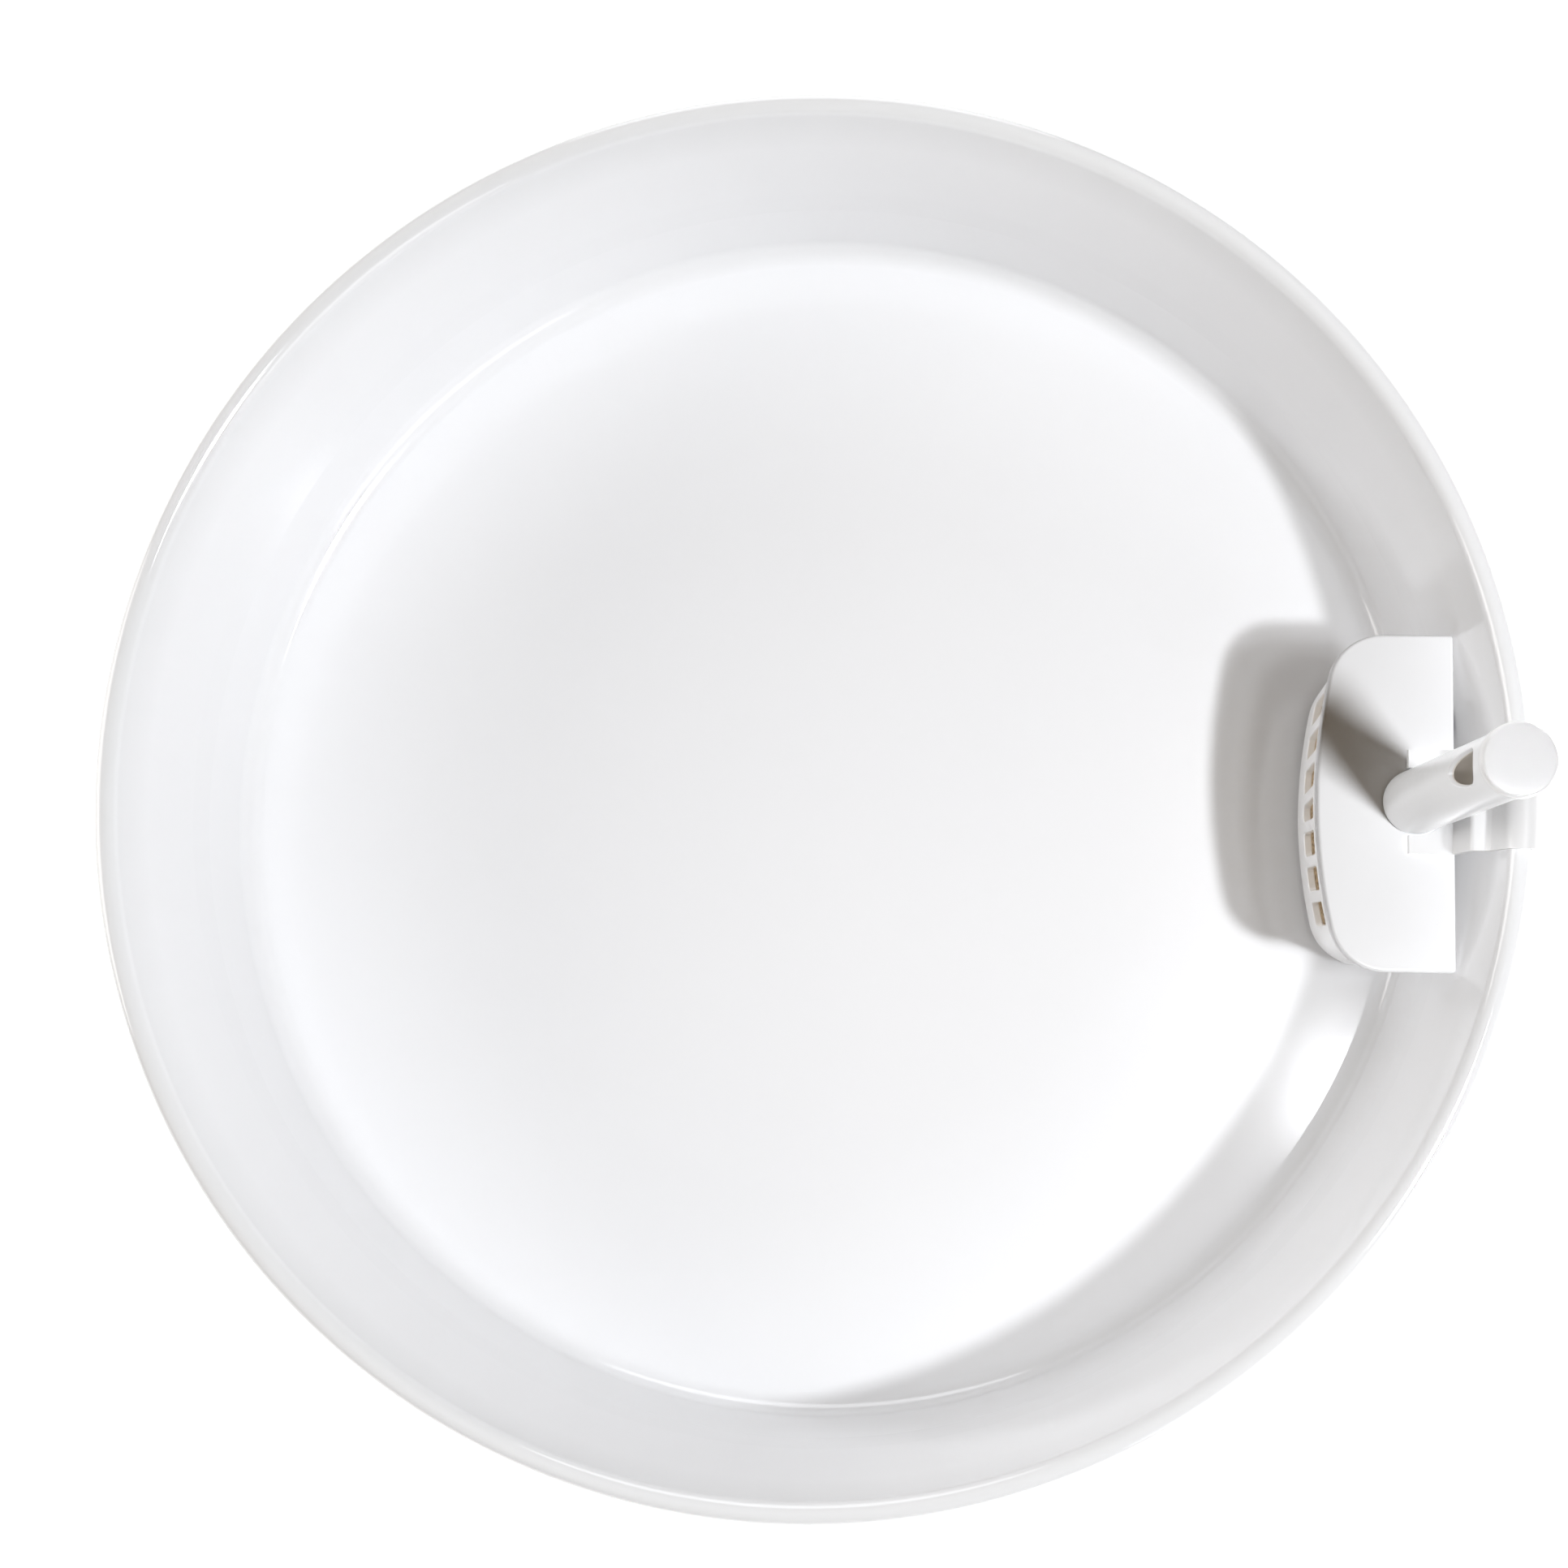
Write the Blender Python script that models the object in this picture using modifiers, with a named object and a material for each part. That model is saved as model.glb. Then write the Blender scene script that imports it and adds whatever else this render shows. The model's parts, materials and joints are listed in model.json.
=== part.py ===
"""Turntable tray on a ball-bearing base, with a rim-hung water unit and its spout column.

The origin is the middle of the object's footprint, on the surface that it stands on. +Z is up, the tray
spins about Z, and the water unit hangs on the rim at +X.
"""
import math

import bmesh
import bpy
from mathutils import Matrix, Vector

MM = 0.001
GAP = 0.3 * MM                      # clearance between pieces that touch
WELD = 0.01 * MM                    # distance under which vertices are one

# Tray
RIM_RADIUS = 152.5 * MM             # outer edge of the rim
RIM_WIDTH = 4.8 * MM
WALL_THICKNESS = 2.6 * MM
FLOOR_THICKNESS = 3.2 * MM
FLOOR_RADIUS = 143.0 * MM           # inner wall at floor level, before the cove
TRAY_DEPTH = 60.0 * MM
COVE_RADIUS = 4.5 * MM
TRAY_UNDERSIDE = 13.8 * MM
FLOOR = TRAY_UNDERSIDE + FLOOR_THICKNESS

# Turntable base and bearing
BASE_RADIUS = 95.0 * MM
BASE_UNDERSIDE = 2.5 * MM
BASE_SKIN = 2.7 * MM
RACE_RADIUS = 68.0 * MM
RACE_HALF_WIDTH = 8.0 * MM
RACE_SHEET = 1.2 * MM
BALL_RADIUS = 3.0 * MM
BALL_COUNT = 12
BALL_LEVEL = 9.4 * MM
CAGE_HALF_WIDTH = 6.0 * MM
CAGE_THICKNESS = 2.0 * MM
FOOT_COUNT = 4
FOOT_RADIUS = 8.0 * MM
FOOT_CIRCLE = 82.0 * MM
SPIGOT_RADIUS = 7.0 * MM
SPIGOT_CLEARANCE = 0.4 * MM
WASHER_RADIUS = 12.0 * MM
WASHER_THICKNESS = 1.3 * MM
SCREW_RADIUS = 1.6 * MM
SCREW_HEAD_RADIUS = 3.8 * MM
SPIGOT_END = BASE_UNDERSIDE + 4.1 * MM
SCREW_BORE_TOP = TRAY_UNDERSIDE - 1.0 * MM
RIB_HEIGHT = 1.6 * MM               # low rings that keep the races centred
HUB_TOP = BASE_UNDERSIDE + 6.6 * MM

# Water unit: heights are above the tray's floor
DECK_TOP = FLOOR + 42.0 * MM
DECK_THICKNESS = 3.0 * MM
DECK_FRONT = 111.0 * MM
DECK_BACK = 141.0 * MM
DECK_HALF_WIDTH = 37.2 * MM
DECK_CORNER = 12.0 * MM
FRONT_BOW = 130.0 * MM              # radius of the bowed front edge
HOUSING_BOTTOM = FLOOR + 2.3 * MM
HOUSING_OVERHANG = 1.0 * MM         # deck edge beyond the housing's front and sides
HOUSING_BACK = 138.5 * MM
HOUSING_BACK_CORNER = 9.0 * MM
HOUSING_WALL = 1.8 * MM
HOUSING_DRAFT = 2.6 * MM            # how far the front leans in at the bottom
SLOT_COUNT = 7
SLOT_PITCH = 8.2 * MM
SLOT_WIDTH = 5.5 * MM
SLOT_LOW = FLOOR + 13.5 * MM
SLOT_HIGH = FLOOR + 30.0 * MM
HOUSING_FLOOR = 2.0 * MM            # thickness of the housing's bottom
LIP_DEPTH = 2.4 * MM                # deck's locating lip
PAD_SPOTS = ((121.5 * MM, -21.0 * MM), (121.5 * MM, 21.0 * MM),
             (131.0 * MM, -23.0 * MM), (131.0 * MM, 23.0 * MM))
PAD_RADIUS = 3.5 * MM
FILTER_HALF_WIDTH = 26.0 * MM
FILTER_THICKNESS = 2.0 * MM
FILTER_TOP = FLOOR + 35.0 * MM
GROMMET_Y = 20.0 * MM
GROMMET_Z = FLOOR + 30.0 * MM
GROMMET_RADIUS = 2.2 * MM

# Spout column and pump, on one upright axis
COLUMN_X = 132.3 * MM
COLUMN_RADIUS = 7.1 * MM
COLUMN_TOP_RADIUS = 6.4 * MM
COLUMN_BORE = 5.4 * MM
COLUMN_FOOT = DECK_TOP + GAP
COLUMN_TOP = FLOOR + 109.6 * MM
COLUMN_SPIGOT_END = FLOOR + 31.0 * MM
SPIGOT_OUTER = 4.2 * MM
SPIGOT_INNER = 3.2 * MM
NOZZLE_OUTER = 2.9 * MM
NOZZLE_INNER = 1.9 * MM
MOUTH_HALF_WIDTH = 3.8 * MM
MOUTH_WIDEST = FLOOR + 100.0 * MM
MOUTH_ABOVE = 5.0 * MM
MOUTH_BELOW = 10.0 * MM
CAP_RADIUS = 7.0 * MM
CAP_TOP = FLOOR + 112.0 * MM
CAP_PLUG = 3.4 * MM
IMPELLER_X = 129.2 * MM
IMPELLER_Z = FLOOR + 15.8 * MM
CHAMBER_RADIUS = 5.8 * MM
CHAMBER_FRONT = -4.0 * MM
CHAMBER_BACK = 2.0 * MM
ROTOR_WELL_RADIUS = 4.5 * MM
ROTOR_WELL_BACK = 22.0 * MM
SHAFT_RADIUS = 0.75 * MM
PUMP_FRONT = 121.8 * MM
PUMP_BACK = 136.2 * MM
PUMP_END = 29.0 * MM
PUMP_TOP = FLOOR + 27.0 * MM
PUMP_BOTTOM = HOUSING_BOTTOM + HOUSING_FLOOR + GAP
NOZZLE_TOP = FLOOR + 38.0 * MM
COVER_THICKNESS = 2.4 * MM
HUB_RADIUS = 2.0 * MM
BLADE_COUNT = 6

# Bracket that hooks over the rim
BRACKET_HALF_WIDTH = 11.4 * MM
BRACKET_SHEET = 1.6 * MM
BRACKET_FRONT = 130.5 * MM
BRACKET_RISE = 9.4 * MM
PEG_RADIUS = 1.3 * MM
PEG_X = 134.4 * MM
PEG_Y = 9.4 * MM
PEG_DEPTH = 5.0 * MM
NOTCH_RADIUS = COLUMN_RADIUS + GAP

ROUND_STEPS = 64
RACE_STEPS = 48
SMALL_STEPS = 24
COLUMN_STEPS = 32

WHITE_GLOSS = ("white_gloss", (0.86, 0.865, 0.87), 0.18, 0.0)
WHITE_SATIN = ("white_satin", (0.87, 0.87, 0.865), 0.34, 0.0)
BASE_GREY = ("base_plastic", (0.62, 0.62, 0.62), 0.45, 0.0)
STEEL = ("bearing_steel", (0.62, 0.63, 0.65), 0.28, 1.0)
CAGE_NYLON = ("cage_nylon", (0.80, 0.78, 0.70), 0.42, 0.0)
RUBBER = ("grey_rubber", (0.20, 0.20, 0.21), 0.70, 0.0)
FOAM = ("filter_foam", (0.60, 0.47, 0.33), 0.95, 0.0)
PUMP_BLACK = ("pump_plastic", (0.05, 0.05, 0.055), 0.40, 0.0)
IMPELLER_BLUE = ("impeller_plastic", (0.24, 0.36, 0.52), 0.35, 0.0)
MAGNET = ("magnet_ferrite", (0.09, 0.09, 0.095), 0.50, 0.1)


def clear_scene():
    for thing in list(bpy.data.objects):
        bpy.data.objects.remove(thing, do_unlink=True)


def collection(name):
    group = bpy.data.collections.new(name)
    bpy.context.scene.collection.children.link(group)
    return group


clear_scene()
PARTS = collection("turntable_tray")
CUTTERS = collection("cutters")


def material(finish):
    name, colour, roughness, metallic = finish
    if name in bpy.data.materials:
        return bpy.data.materials[name]
    made = bpy.data.materials.new(name)
    made.use_nodes = True
    shader = made.node_tree.nodes["Principled BSDF"]
    shader.inputs["Base Color"].default_value = (*colour, 1.0)
    shader.inputs["Roughness"].default_value = roughness
    shader.inputs["Metallic"].default_value = metallic
    made.diffuse_color = (*colour, 1.0)
    return made


def link(name, mesh, finish=None):
    """Put a mesh in the scene; without a finish it is a cutter."""
    made = bpy.data.objects.new(name, mesh)
    if finish is None:
        CUTTERS.objects.link(made)
        made.hide_render = True
        made.display_type = "WIRE"
    else:
        PARTS.objects.link(made)
        mesh.materials.append(material(finish))
    return made


def shade(made, degrees=35):
    """Shade round faces smooth and keep true corners sharp."""
    made.data.shade_smooth()
    made.data.set_sharp_from_angle(angle=math.radians(degrees))
    return made


def apply_modifiers(made):
    """Replace the object's mesh with its evaluated one and drop the modifiers."""
    depsgraph = bpy.context.evaluated_depsgraph_get()
    mesh = bpy.data.meshes.new_from_object(made.evaluated_get(depsgraph))
    made.modifiers.clear()
    made.data = mesh
    return made


def turned(name, profile, finish, steps=ROUND_STEPS, centre=(0.0, 0.0)):
    """Turn an (r, z) profile about an upright axis; its outer side runs from top to bottom."""
    mesh = bpy.data.meshes.new(name)
    closed = profile[0][0] > WELD
    points = [(r, 0.0, z) for r, z in profile]
    edges = [(i, i + 1) for i in range(len(points) - 1)]
    if closed:
        edges.append((len(points) - 1, 0))
    mesh.from_pydata(points, edges, [])
    made = link(name, mesh, finish)
    made.location = (*centre, 0.0)
    screw = made.modifiers.new("turn", "SCREW")
    screw.axis = "Z"
    screw.steps = steps
    screw.render_steps = steps
    screw.use_merge_vertices = True
    screw.merge_threshold = WELD
    apply_modifiers(made)
    return shade(made)


def arc(cx, cz, radius, start, end, steps):
    """Points on a circle from one angle in degrees to another."""
    turn = [math.radians(start + (end - start) * i / steps) for i in range(steps + 1)]
    return [(cx + radius * math.cos(t), cz + radius * math.sin(t)) for t in turn]


def cylinder(name, radius, start, end, finish=None, steps=SMALL_STEPS):
    """A cylinder between two points, with its mesh upright in its own frame."""
    a, b = Vector(start), Vector(end)
    mesh = bpy.data.meshes.new(name)
    shape = bmesh.new()
    bmesh.ops.create_cone(shape, cap_ends=True, segments=steps, radius1=radius, radius2=radius,
                          depth=(b - a).length)
    shape.to_mesh(mesh)
    shape.free()
    made = link(name, mesh, finish)
    made.location = (a + b) / 2
    made.rotation_euler = Vector((0, 0, 1)).rotation_difference(b - a).to_euler()
    return shade(made)


def box(name, low, high, finish=None):
    mesh = bpy.data.meshes.new(name)
    shape = bmesh.new()
    bmesh.ops.create_cube(shape, size=1.0)
    size = Vector(high) - Vector(low)
    bmesh.ops.scale(shape, vec=size, verts=shape.verts)
    shape.to_mesh(mesh)
    shape.free()
    made = link(name, mesh, finish)
    made.location = (Vector(high) + Vector(low)) / 2
    return made


def prism(name, outline, low, high, finish=None):
    """Extrude a flat outline upright, from one height to another."""
    curve = bpy.data.curves.new(name, "CURVE")
    curve.dimensions = "2D"
    curve.fill_mode = "BOTH"
    curve.extrude = (high - low) / 2
    spline = curve.splines.new("POLY")
    spline.points.add(len(outline) - 1)
    for point, (x, y) in zip(spline.points, outline):
        point.co = (x, y, 0.0, 1.0)
    spline.use_cyclic_u = True
    guide = bpy.data.objects.new(name + "_outline", curve)
    CUTTERS.objects.link(guide)
    guide.location = (0.0, 0.0, (low + high) / 2)
    depsgraph = bpy.context.evaluated_depsgraph_get()
    mesh = bpy.data.meshes.new_from_object(guide.evaluated_get(depsgraph))
    shape = bmesh.new()
    shape.from_mesh(mesh)
    bmesh.ops.remove_doubles(shape, verts=shape.verts, dist=WELD)
    bmesh.ops.recalc_face_normals(shape, faces=shape.faces)
    shape.to_mesh(mesh)
    shape.free()
    mesh.materials.clear()
    made = link(name, mesh, finish)
    made.matrix_world = Matrix.Translation(guide.location)
    bpy.data.objects.remove(guide, do_unlink=True)
    return made


def boolean(made, operation, others):
    """Cut, join or intersect with other objects, which are removed afterwards."""
    for other in others:
        step = made.modifiers.new("boolean", "BOOLEAN")
        step.operation = operation
        step.solver = "EXACT"
        step.object = other
    bpy.context.view_layer.update()
    apply_modifiers(made)
    for other in others:
        bpy.data.objects.remove(other, do_unlink=True)
    return made


def cut(made, *cutters):
    return boolean(made, "DIFFERENCE", cutters)


def join(made, *others):
    return boolean(made, "UNION", others)


def bevel(made, width, segments=2, degrees=50):
    step = made.modifiers.new("bevel", "BEVEL")
    step.width = width
    step.segments = segments
    step.limit_method = "ANGLE"
    step.angle_limit = math.radians(degrees)
    step.use_clamp_overlap = True
    bpy.context.view_layer.update()
    return apply_modifiers(made)


def d_outline(front, back, half_width, corner, back_corner=0.0, bow=FRONT_BOW):
    """A D: a bowed front edge, rounded front corners, straight sides and a straight back."""
    centre_x = front + bow
    corner_y = half_width - corner
    corner_x = centre_x - math.sqrt((bow - corner) ** 2 - corner_y ** 2)
    swing = math.degrees(math.atan2(corner_y, centre_x - corner_x))
    points = arc(centre_x, 0.0, bow, 180 - swing, 180 + swing, 12)
    points += arc(corner_x, -corner_y, corner, 180 + swing, 270, 6)[1:]
    if back_corner > 0:
        inner = half_width - back_corner
        points += arc(back - back_corner, -inner, back_corner, -90, 0, 4)
        points += arc(back - back_corner, inner, back_corner, 0, 90, 4)
    else:
        points += [(back, -half_width), (back, half_width)]
    points += arc(corner_x, corner_y, corner, 90, 180 - swing, 6)[:-1]
    return points


# ---- Turntable base and bearing ----

def make_base_plate():
    top = BASE_UNDERSIDE + BASE_SKIN
    pocket_top = HUB_TOP - 2.5 * MM
    rib_inner = RACE_RADIUS - RACE_HALF_WIDTH - GAP
    bore = SPIGOT_RADIUS + SPIGOT_CLEARANCE
    profile = [
        (BASE_RADIUS - 3.0 * MM, top + 3.0 * MM),
        (BASE_RADIUS - 1.0 * MM, top + 2.6 * MM),
        (BASE_RADIUS, top + 1.4 * MM),
        (BASE_RADIUS, BASE_UNDERSIDE + 1.2 * MM),
        (BASE_RADIUS - 1.2 * MM, BASE_UNDERSIDE),
        (18.0 * MM, BASE_UNDERSIDE),
        (16.5 * MM, pocket_top),
        (bore, pocket_top),
        (bore, HUB_TOP),
        (17.0 * MM, HUB_TOP),
        (20.0 * MM, top),
        (rib_inner - 2.0 * MM, top),
        (rib_inner - 1.8 * MM, top + RIB_HEIGHT),
        (rib_inner, top + RIB_HEIGHT),
        (rib_inner, top),
        (BASE_RADIUS - 5.0 * MM, top),
    ]
    return turned("base_plate", profile, BASE_GREY, RACE_STEPS)


def make_feet():
    for number in range(FOOT_COUNT):
        turn = math.radians(45 + 360 / FOOT_COUNT * number)
        centre = (FOOT_CIRCLE * math.cos(turn), FOOT_CIRCLE * math.sin(turn))
        high = BASE_UNDERSIDE - GAP
        profile = [
            (0.0, high),
            (FOOT_RADIUS, high),
            (FOOT_RADIUS, 0.6 * MM),
            (FOOT_RADIUS - 0.6 * MM, 0.0),
            (0.0, 0.0),
        ]
        turned(f"base_foot_{number + 1}", profile, RUBBER, SMALL_STEPS, centre)


def race_profile(flat, groove_side):
    """A sheet ring with a shallow ball groove; groove_side is +1 when the groove faces up."""
    reach = BALL_RADIUS + GAP
    rise = abs(BALL_LEVEL - flat)
    half = math.degrees(math.acos(rise / reach))
    middle = -90 if groove_side > 0 else 90
    groove = arc(RACE_RADIUS, BALL_LEVEL, reach, middle - half, middle + half, 4)
    outer, inner = RACE_RADIUS + RACE_HALF_WIDTH, RACE_RADIUS - RACE_HALF_WIDTH
    back = flat - groove_side * RACE_SHEET
    if groove_side > 0:
        return [(outer, flat), (outer, back), (inner, back), (inner, flat)] + groove
    return [(outer, back), (outer, flat)] + groove + [(inner, flat), (inner, back)]


def make_races():
    low_flat = BASE_UNDERSIDE + BASE_SKIN + GAP + RACE_SHEET
    high_flat = TRAY_UNDERSIDE - GAP - RACE_SHEET
    turned("lower_race", race_profile(low_flat, 1), STEEL, RACE_STEPS)
    turned("upper_race", race_profile(high_flat, -1), STEEL, RACE_STEPS)


def make_cage_and_balls():
    low, high = BALL_LEVEL - CAGE_THICKNESS / 2, BALL_LEVEL + CAGE_THICKNESS / 2
    outer, inner = RACE_RADIUS + CAGE_HALF_WIDTH, RACE_RADIUS - CAGE_HALF_WIDTH
    cage = turned("ball_cage", [(outer, high), (outer, low), (inner, low), (inner, high)], CAGE_NYLON,
                  RACE_STEPS)
    pockets = []
    for number in range(BALL_COUNT):
        turn = math.radians(360 / BALL_COUNT * (number + 0.5))
        x, y = RACE_RADIUS * math.cos(turn), RACE_RADIUS * math.sin(turn)
        pockets.append(cylinder("pocket", BALL_RADIUS + GAP, (x, y, low - MM), (x, y, high + MM), steps=16))
        mesh = bpy.data.meshes.new("ball")
        shape = bmesh.new()
        bmesh.ops.create_uvsphere(shape, u_segments=12, v_segments=8, radius=BALL_RADIUS)
        shape.to_mesh(mesh)
        shape.free()
        ball = link(f"ball_{number + 1:02d}", mesh, STEEL)
        ball.location = (x, y, BALL_LEVEL)
        ball.data.shade_smooth()
    cut(cage, *pockets)
    shade(cage)


def make_tray():
    top = FLOOR + TRAY_DEPTH
    bead = RIM_WIDTH / 2
    bead_r = RIM_RADIUS - bead
    wall_top = RIM_RADIUS - RIM_WIDTH
    lean = math.degrees(math.atan2(wall_top - FLOOR_RADIUS, TRAY_DEPTH))
    cove_x = FLOOR_RADIUS - COVE_RADIUS
    outer_cove = COVE_RADIUS + WALL_THICKNESS
    rib = RACE_RADIUS - RACE_HALF_WIDTH - GAP
    screw_bore = SCREW_RADIUS + GAP
    profile = [(0.0, FLOOR)]
    profile += arc(cove_x, FLOOR + COVE_RADIUS, COVE_RADIUS, -90, -lean, 5)
    profile += arc(bead_r, top - bead, bead, 180, 0, 8)
    profile += [
        (RIM_RADIUS, top - 4.4 * MM),
        (RIM_RADIUS - 0.6 * MM, top - 5.0 * MM),
        (wall_top + WALL_THICKNESS, top - 5.0 * MM),
    ]
    profile += arc(cove_x, FLOOR + COVE_RADIUS, outer_cove, -lean, -76, 4)
    profile += [
        (cove_x - 2.0 * MM, TRAY_UNDERSIDE),
        (rib, TRAY_UNDERSIDE),
        (rib, TRAY_UNDERSIDE - RIB_HEIGHT),
        (rib - 1.8 * MM, TRAY_UNDERSIDE - RIB_HEIGHT),
        (rib - 2.0 * MM, TRAY_UNDERSIDE),
        (SPIGOT_RADIUS, TRAY_UNDERSIDE),
        (SPIGOT_RADIUS, SPIGOT_END),
        (screw_bore, SPIGOT_END),
        (screw_bore, SCREW_BORE_TOP),
        (0.0, SCREW_BORE_TOP),
    ]
    return turned("tray", profile, WHITE_GLOSS)


def make_retainer():
    washer_top = SPIGOT_END - GAP
    washer_low = washer_top - WASHER_THICKNESS
    hole = SCREW_RADIUS + GAP
    turned("retaining_washer", [
        (WASHER_RADIUS, washer_top), (WASHER_RADIUS, washer_low), (hole, washer_low), (hole, washer_top),
    ], STEEL, SMALL_STEPS)
    head_top = washer_low - GAP
    screw_top = SCREW_BORE_TOP - GAP
    screw = turned("retaining_screw", [
        (0.0, screw_top),
        (SCREW_RADIUS, screw_top - 0.6 * MM),
        (SCREW_RADIUS, head_top),
        (SCREW_HEAD_RADIUS, head_top),
        (SCREW_HEAD_RADIUS, head_top - 0.9 * MM),
        (SCREW_HEAD_RADIUS - 1.0 * MM, head_top - 1.8 * MM),
        (0.0, head_top - 2.0 * MM),
    ], STEEL, SMALL_STEPS)
    arm, half = 2.2 * MM, 0.4 * MM
    low, high = head_top - 3.0 * MM, head_top - 1.0 * MM
    cut(screw, box("slot_x", (-arm, -half, low), (arm, half, high)),
        box("slot_y", (-half, -arm, low), (half, arm, high)))
    shade(screw)


# ---- Water unit ----

def draft(made, low, high, amount, centre_x):
    """Lean the front and sides of an upright shell in towards its bottom."""
    shape = bmesh.new()
    shape.from_mesh(made.data)
    for vertex in shape.verts:
        z = vertex.co.z + made.location.z
        depth = min(max((high - z) / (high - low), 0.0), 1.0)
        if vertex.co.x < centre_x:
            vertex.co.x += amount * depth
        vertex.co.y -= math.copysign(min(amount * 0.5 * depth, abs(vertex.co.y)), vertex.co.y)
    shape.to_mesh(made.data)
    shape.free()
    return made


def make_housing():
    top = DECK_TOP - DECK_THICKNESS - GAP
    front = DECK_FRONT + HOUSING_OVERHANG
    half = DECK_HALF_WIDTH - HOUSING_OVERHANG
    wall = HOUSING_WALL
    middle = (DECK_FRONT + DECK_BACK) / 2
    outer = d_outline(front, HOUSING_BACK, half, DECK_CORNER, HOUSING_BACK_CORNER)
    inner = d_outline(front + wall, HOUSING_BACK - wall, half - wall, DECK_CORNER - wall,
                      HOUSING_BACK_CORNER - wall, FRONT_BOW - wall)
    housing = draft(prism("pump_housing", outer, HOUSING_BOTTOM, top, WHITE_SATIN),
                    HOUSING_BOTTOM, top, HOUSING_DRAFT, middle)
    hollow = draft(prism("hollow", inner, HOUSING_BOTTOM + HOUSING_FLOOR, top + 2.0 * MM),
                   HOUSING_BOTTOM, top, HOUSING_DRAFT, middle)
    slots = []
    for number in range(SLOT_COUNT):
        y = (number - (SLOT_COUNT - 1) / 2) * SLOT_PITCH
        reach = 3.0 * MM + HOUSING_DRAFT + y * y / (2 * FRONT_BOW)
        slot = box("slot", (front - MM, y - SLOT_WIDTH / 2, SLOT_LOW),
                   (front + reach, y + SLOT_WIDTH / 2, SLOT_HIGH))
        slots.append(bevel(slot, 0.8 * MM, 1, 60))
    cut(housing, hollow)
    grommet_hole = cylinder("grommet_hole", GROMMET_RADIUS + GAP,
                            (HOUSING_BACK - 4 * MM, GROMMET_Y, GROMMET_Z),
                            (HOUSING_BACK + 2 * MM, GROMMET_Y, GROMMET_Z), steps=16)
    cut(housing, grommet_hole, *slots)
    shade(housing)


def make_grommet():
    """A rubber bush in the housing's back wall, where a supply lead would leave."""
    bush = turned("cord_grommet", [
        (GROMMET_RADIUS, 1.2 * MM), (GROMMET_RADIUS, -3.4 * MM), (1.0 * MM, -3.4 * MM), (1.0 * MM, 2.0 * MM),
        (3.4 * MM, 2.0 * MM), (3.4 * MM, 1.2 * MM),
    ], RUBBER, 16)
    bush.rotation_euler = (0.0, math.radians(90), 0.0)
    bush.location = (HOUSING_BACK - HOUSING_WALL / 2, GROMMET_Y, GROMMET_Z)


def make_housing_pads():
    low, high = FLOOR + GAP, HOUSING_BOTTOM - GAP
    for number, spot in enumerate(PAD_SPOTS):
        turned(f"housing_pad_{number + 1}", [
            (0.0, high), (PAD_RADIUS, high), (PAD_RADIUS - 0.5 * MM, low), (0.0, low),
        ], RUBBER, 16, spot)


def make_filter():
    """An open-cell foam strip that stands behind the intake slots."""
    front = DECK_FRONT + HOUSING_OVERHANG + HOUSING_WALL + HOUSING_DRAFT + GAP
    radius = FRONT_BOW - HOUSING_WALL
    swing = math.degrees(math.asin(FILTER_HALF_WIDTH / radius))
    centre = front + radius
    near = arc(centre, 0.0, radius, 180 - swing, 180 + swing, 12)
    far = arc(centre, 0.0, radius - FILTER_THICKNESS, 180 + swing, 180 - swing, 12)
    prism("filter_pad", near + far, PUMP_BOTTOM, FILTER_TOP, FOAM)


def make_pump_body():
    body = box("pump_body", (PUMP_FRONT, CHAMBER_FRONT, PUMP_BOTTOM),
               (PUMP_BACK, PUMP_END, PUMP_TOP), PUMP_BLACK)
    bevel(body, 1.2 * MM, 2, 60)
    axis = Vector((IMPELLER_X, 0.0, IMPELLER_Z))
    join(body, cylinder("nozzle", NOZZLE_OUTER, (COLUMN_X, 0, PUMP_TOP - MM), (COLUMN_X, 0, NOZZLE_TOP)))
    chamber = cylinder("chamber", CHAMBER_RADIUS, axis + Vector((0, CHAMBER_FRONT - MM, 0)),
                       axis + Vector((0, CHAMBER_BACK, 0)), steps=32)
    well = cylinder("well", ROTOR_WELL_RADIUS, axis, axis + Vector((0, ROTOR_WELL_BACK, 0)), steps=32)
    seat_end = axis + Vector((0, ROTOR_WELL_BACK + 3 * MM, 0))
    seat = cylinder("seat", SHAFT_RADIUS + GAP, axis, seat_end, steps=12)
    outlet = cylinder("outlet", NOZZLE_INNER, (COLUMN_X, 0, IMPELLER_Z), (COLUMN_X, 0, NOZZLE_TOP + 2 * MM),
                      steps=16)
    cut(body, chamber, well, seat, outlet)
    shade(body)


def make_impeller_cover():
    back = CHAMBER_FRONT - GAP
    front = back - COVER_THICKNESS
    cover = box("impeller_cover", (PUMP_FRONT, front, PUMP_BOTTOM), (PUMP_BACK, back, PUMP_TOP), PUMP_BLACK)
    bevel(cover, 0.6 * MM, 2, 60)
    axis = Vector((IMPELLER_X, 0.0, IMPELLER_Z))
    cutters = [cylinder("seat", SHAFT_RADIUS + GAP, axis + Vector((0, back - 1.4 * MM, 0)),
                        axis + Vector((0, back + MM, 0)), steps=12)]
    for number in range(4):
        turn = math.radians(45 + 90 * number)
        hole = axis + Vector((3.4 * MM * math.cos(turn), 0, 3.4 * MM * math.sin(turn)))
        cutters.append(cylinder("intake", 1.4 * MM, hole + Vector((0, front - MM, 0)),
                                hole + Vector((0, back + MM, 0)), steps=12))
    cut(cover, *cutters)
    shade(cover)


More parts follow.
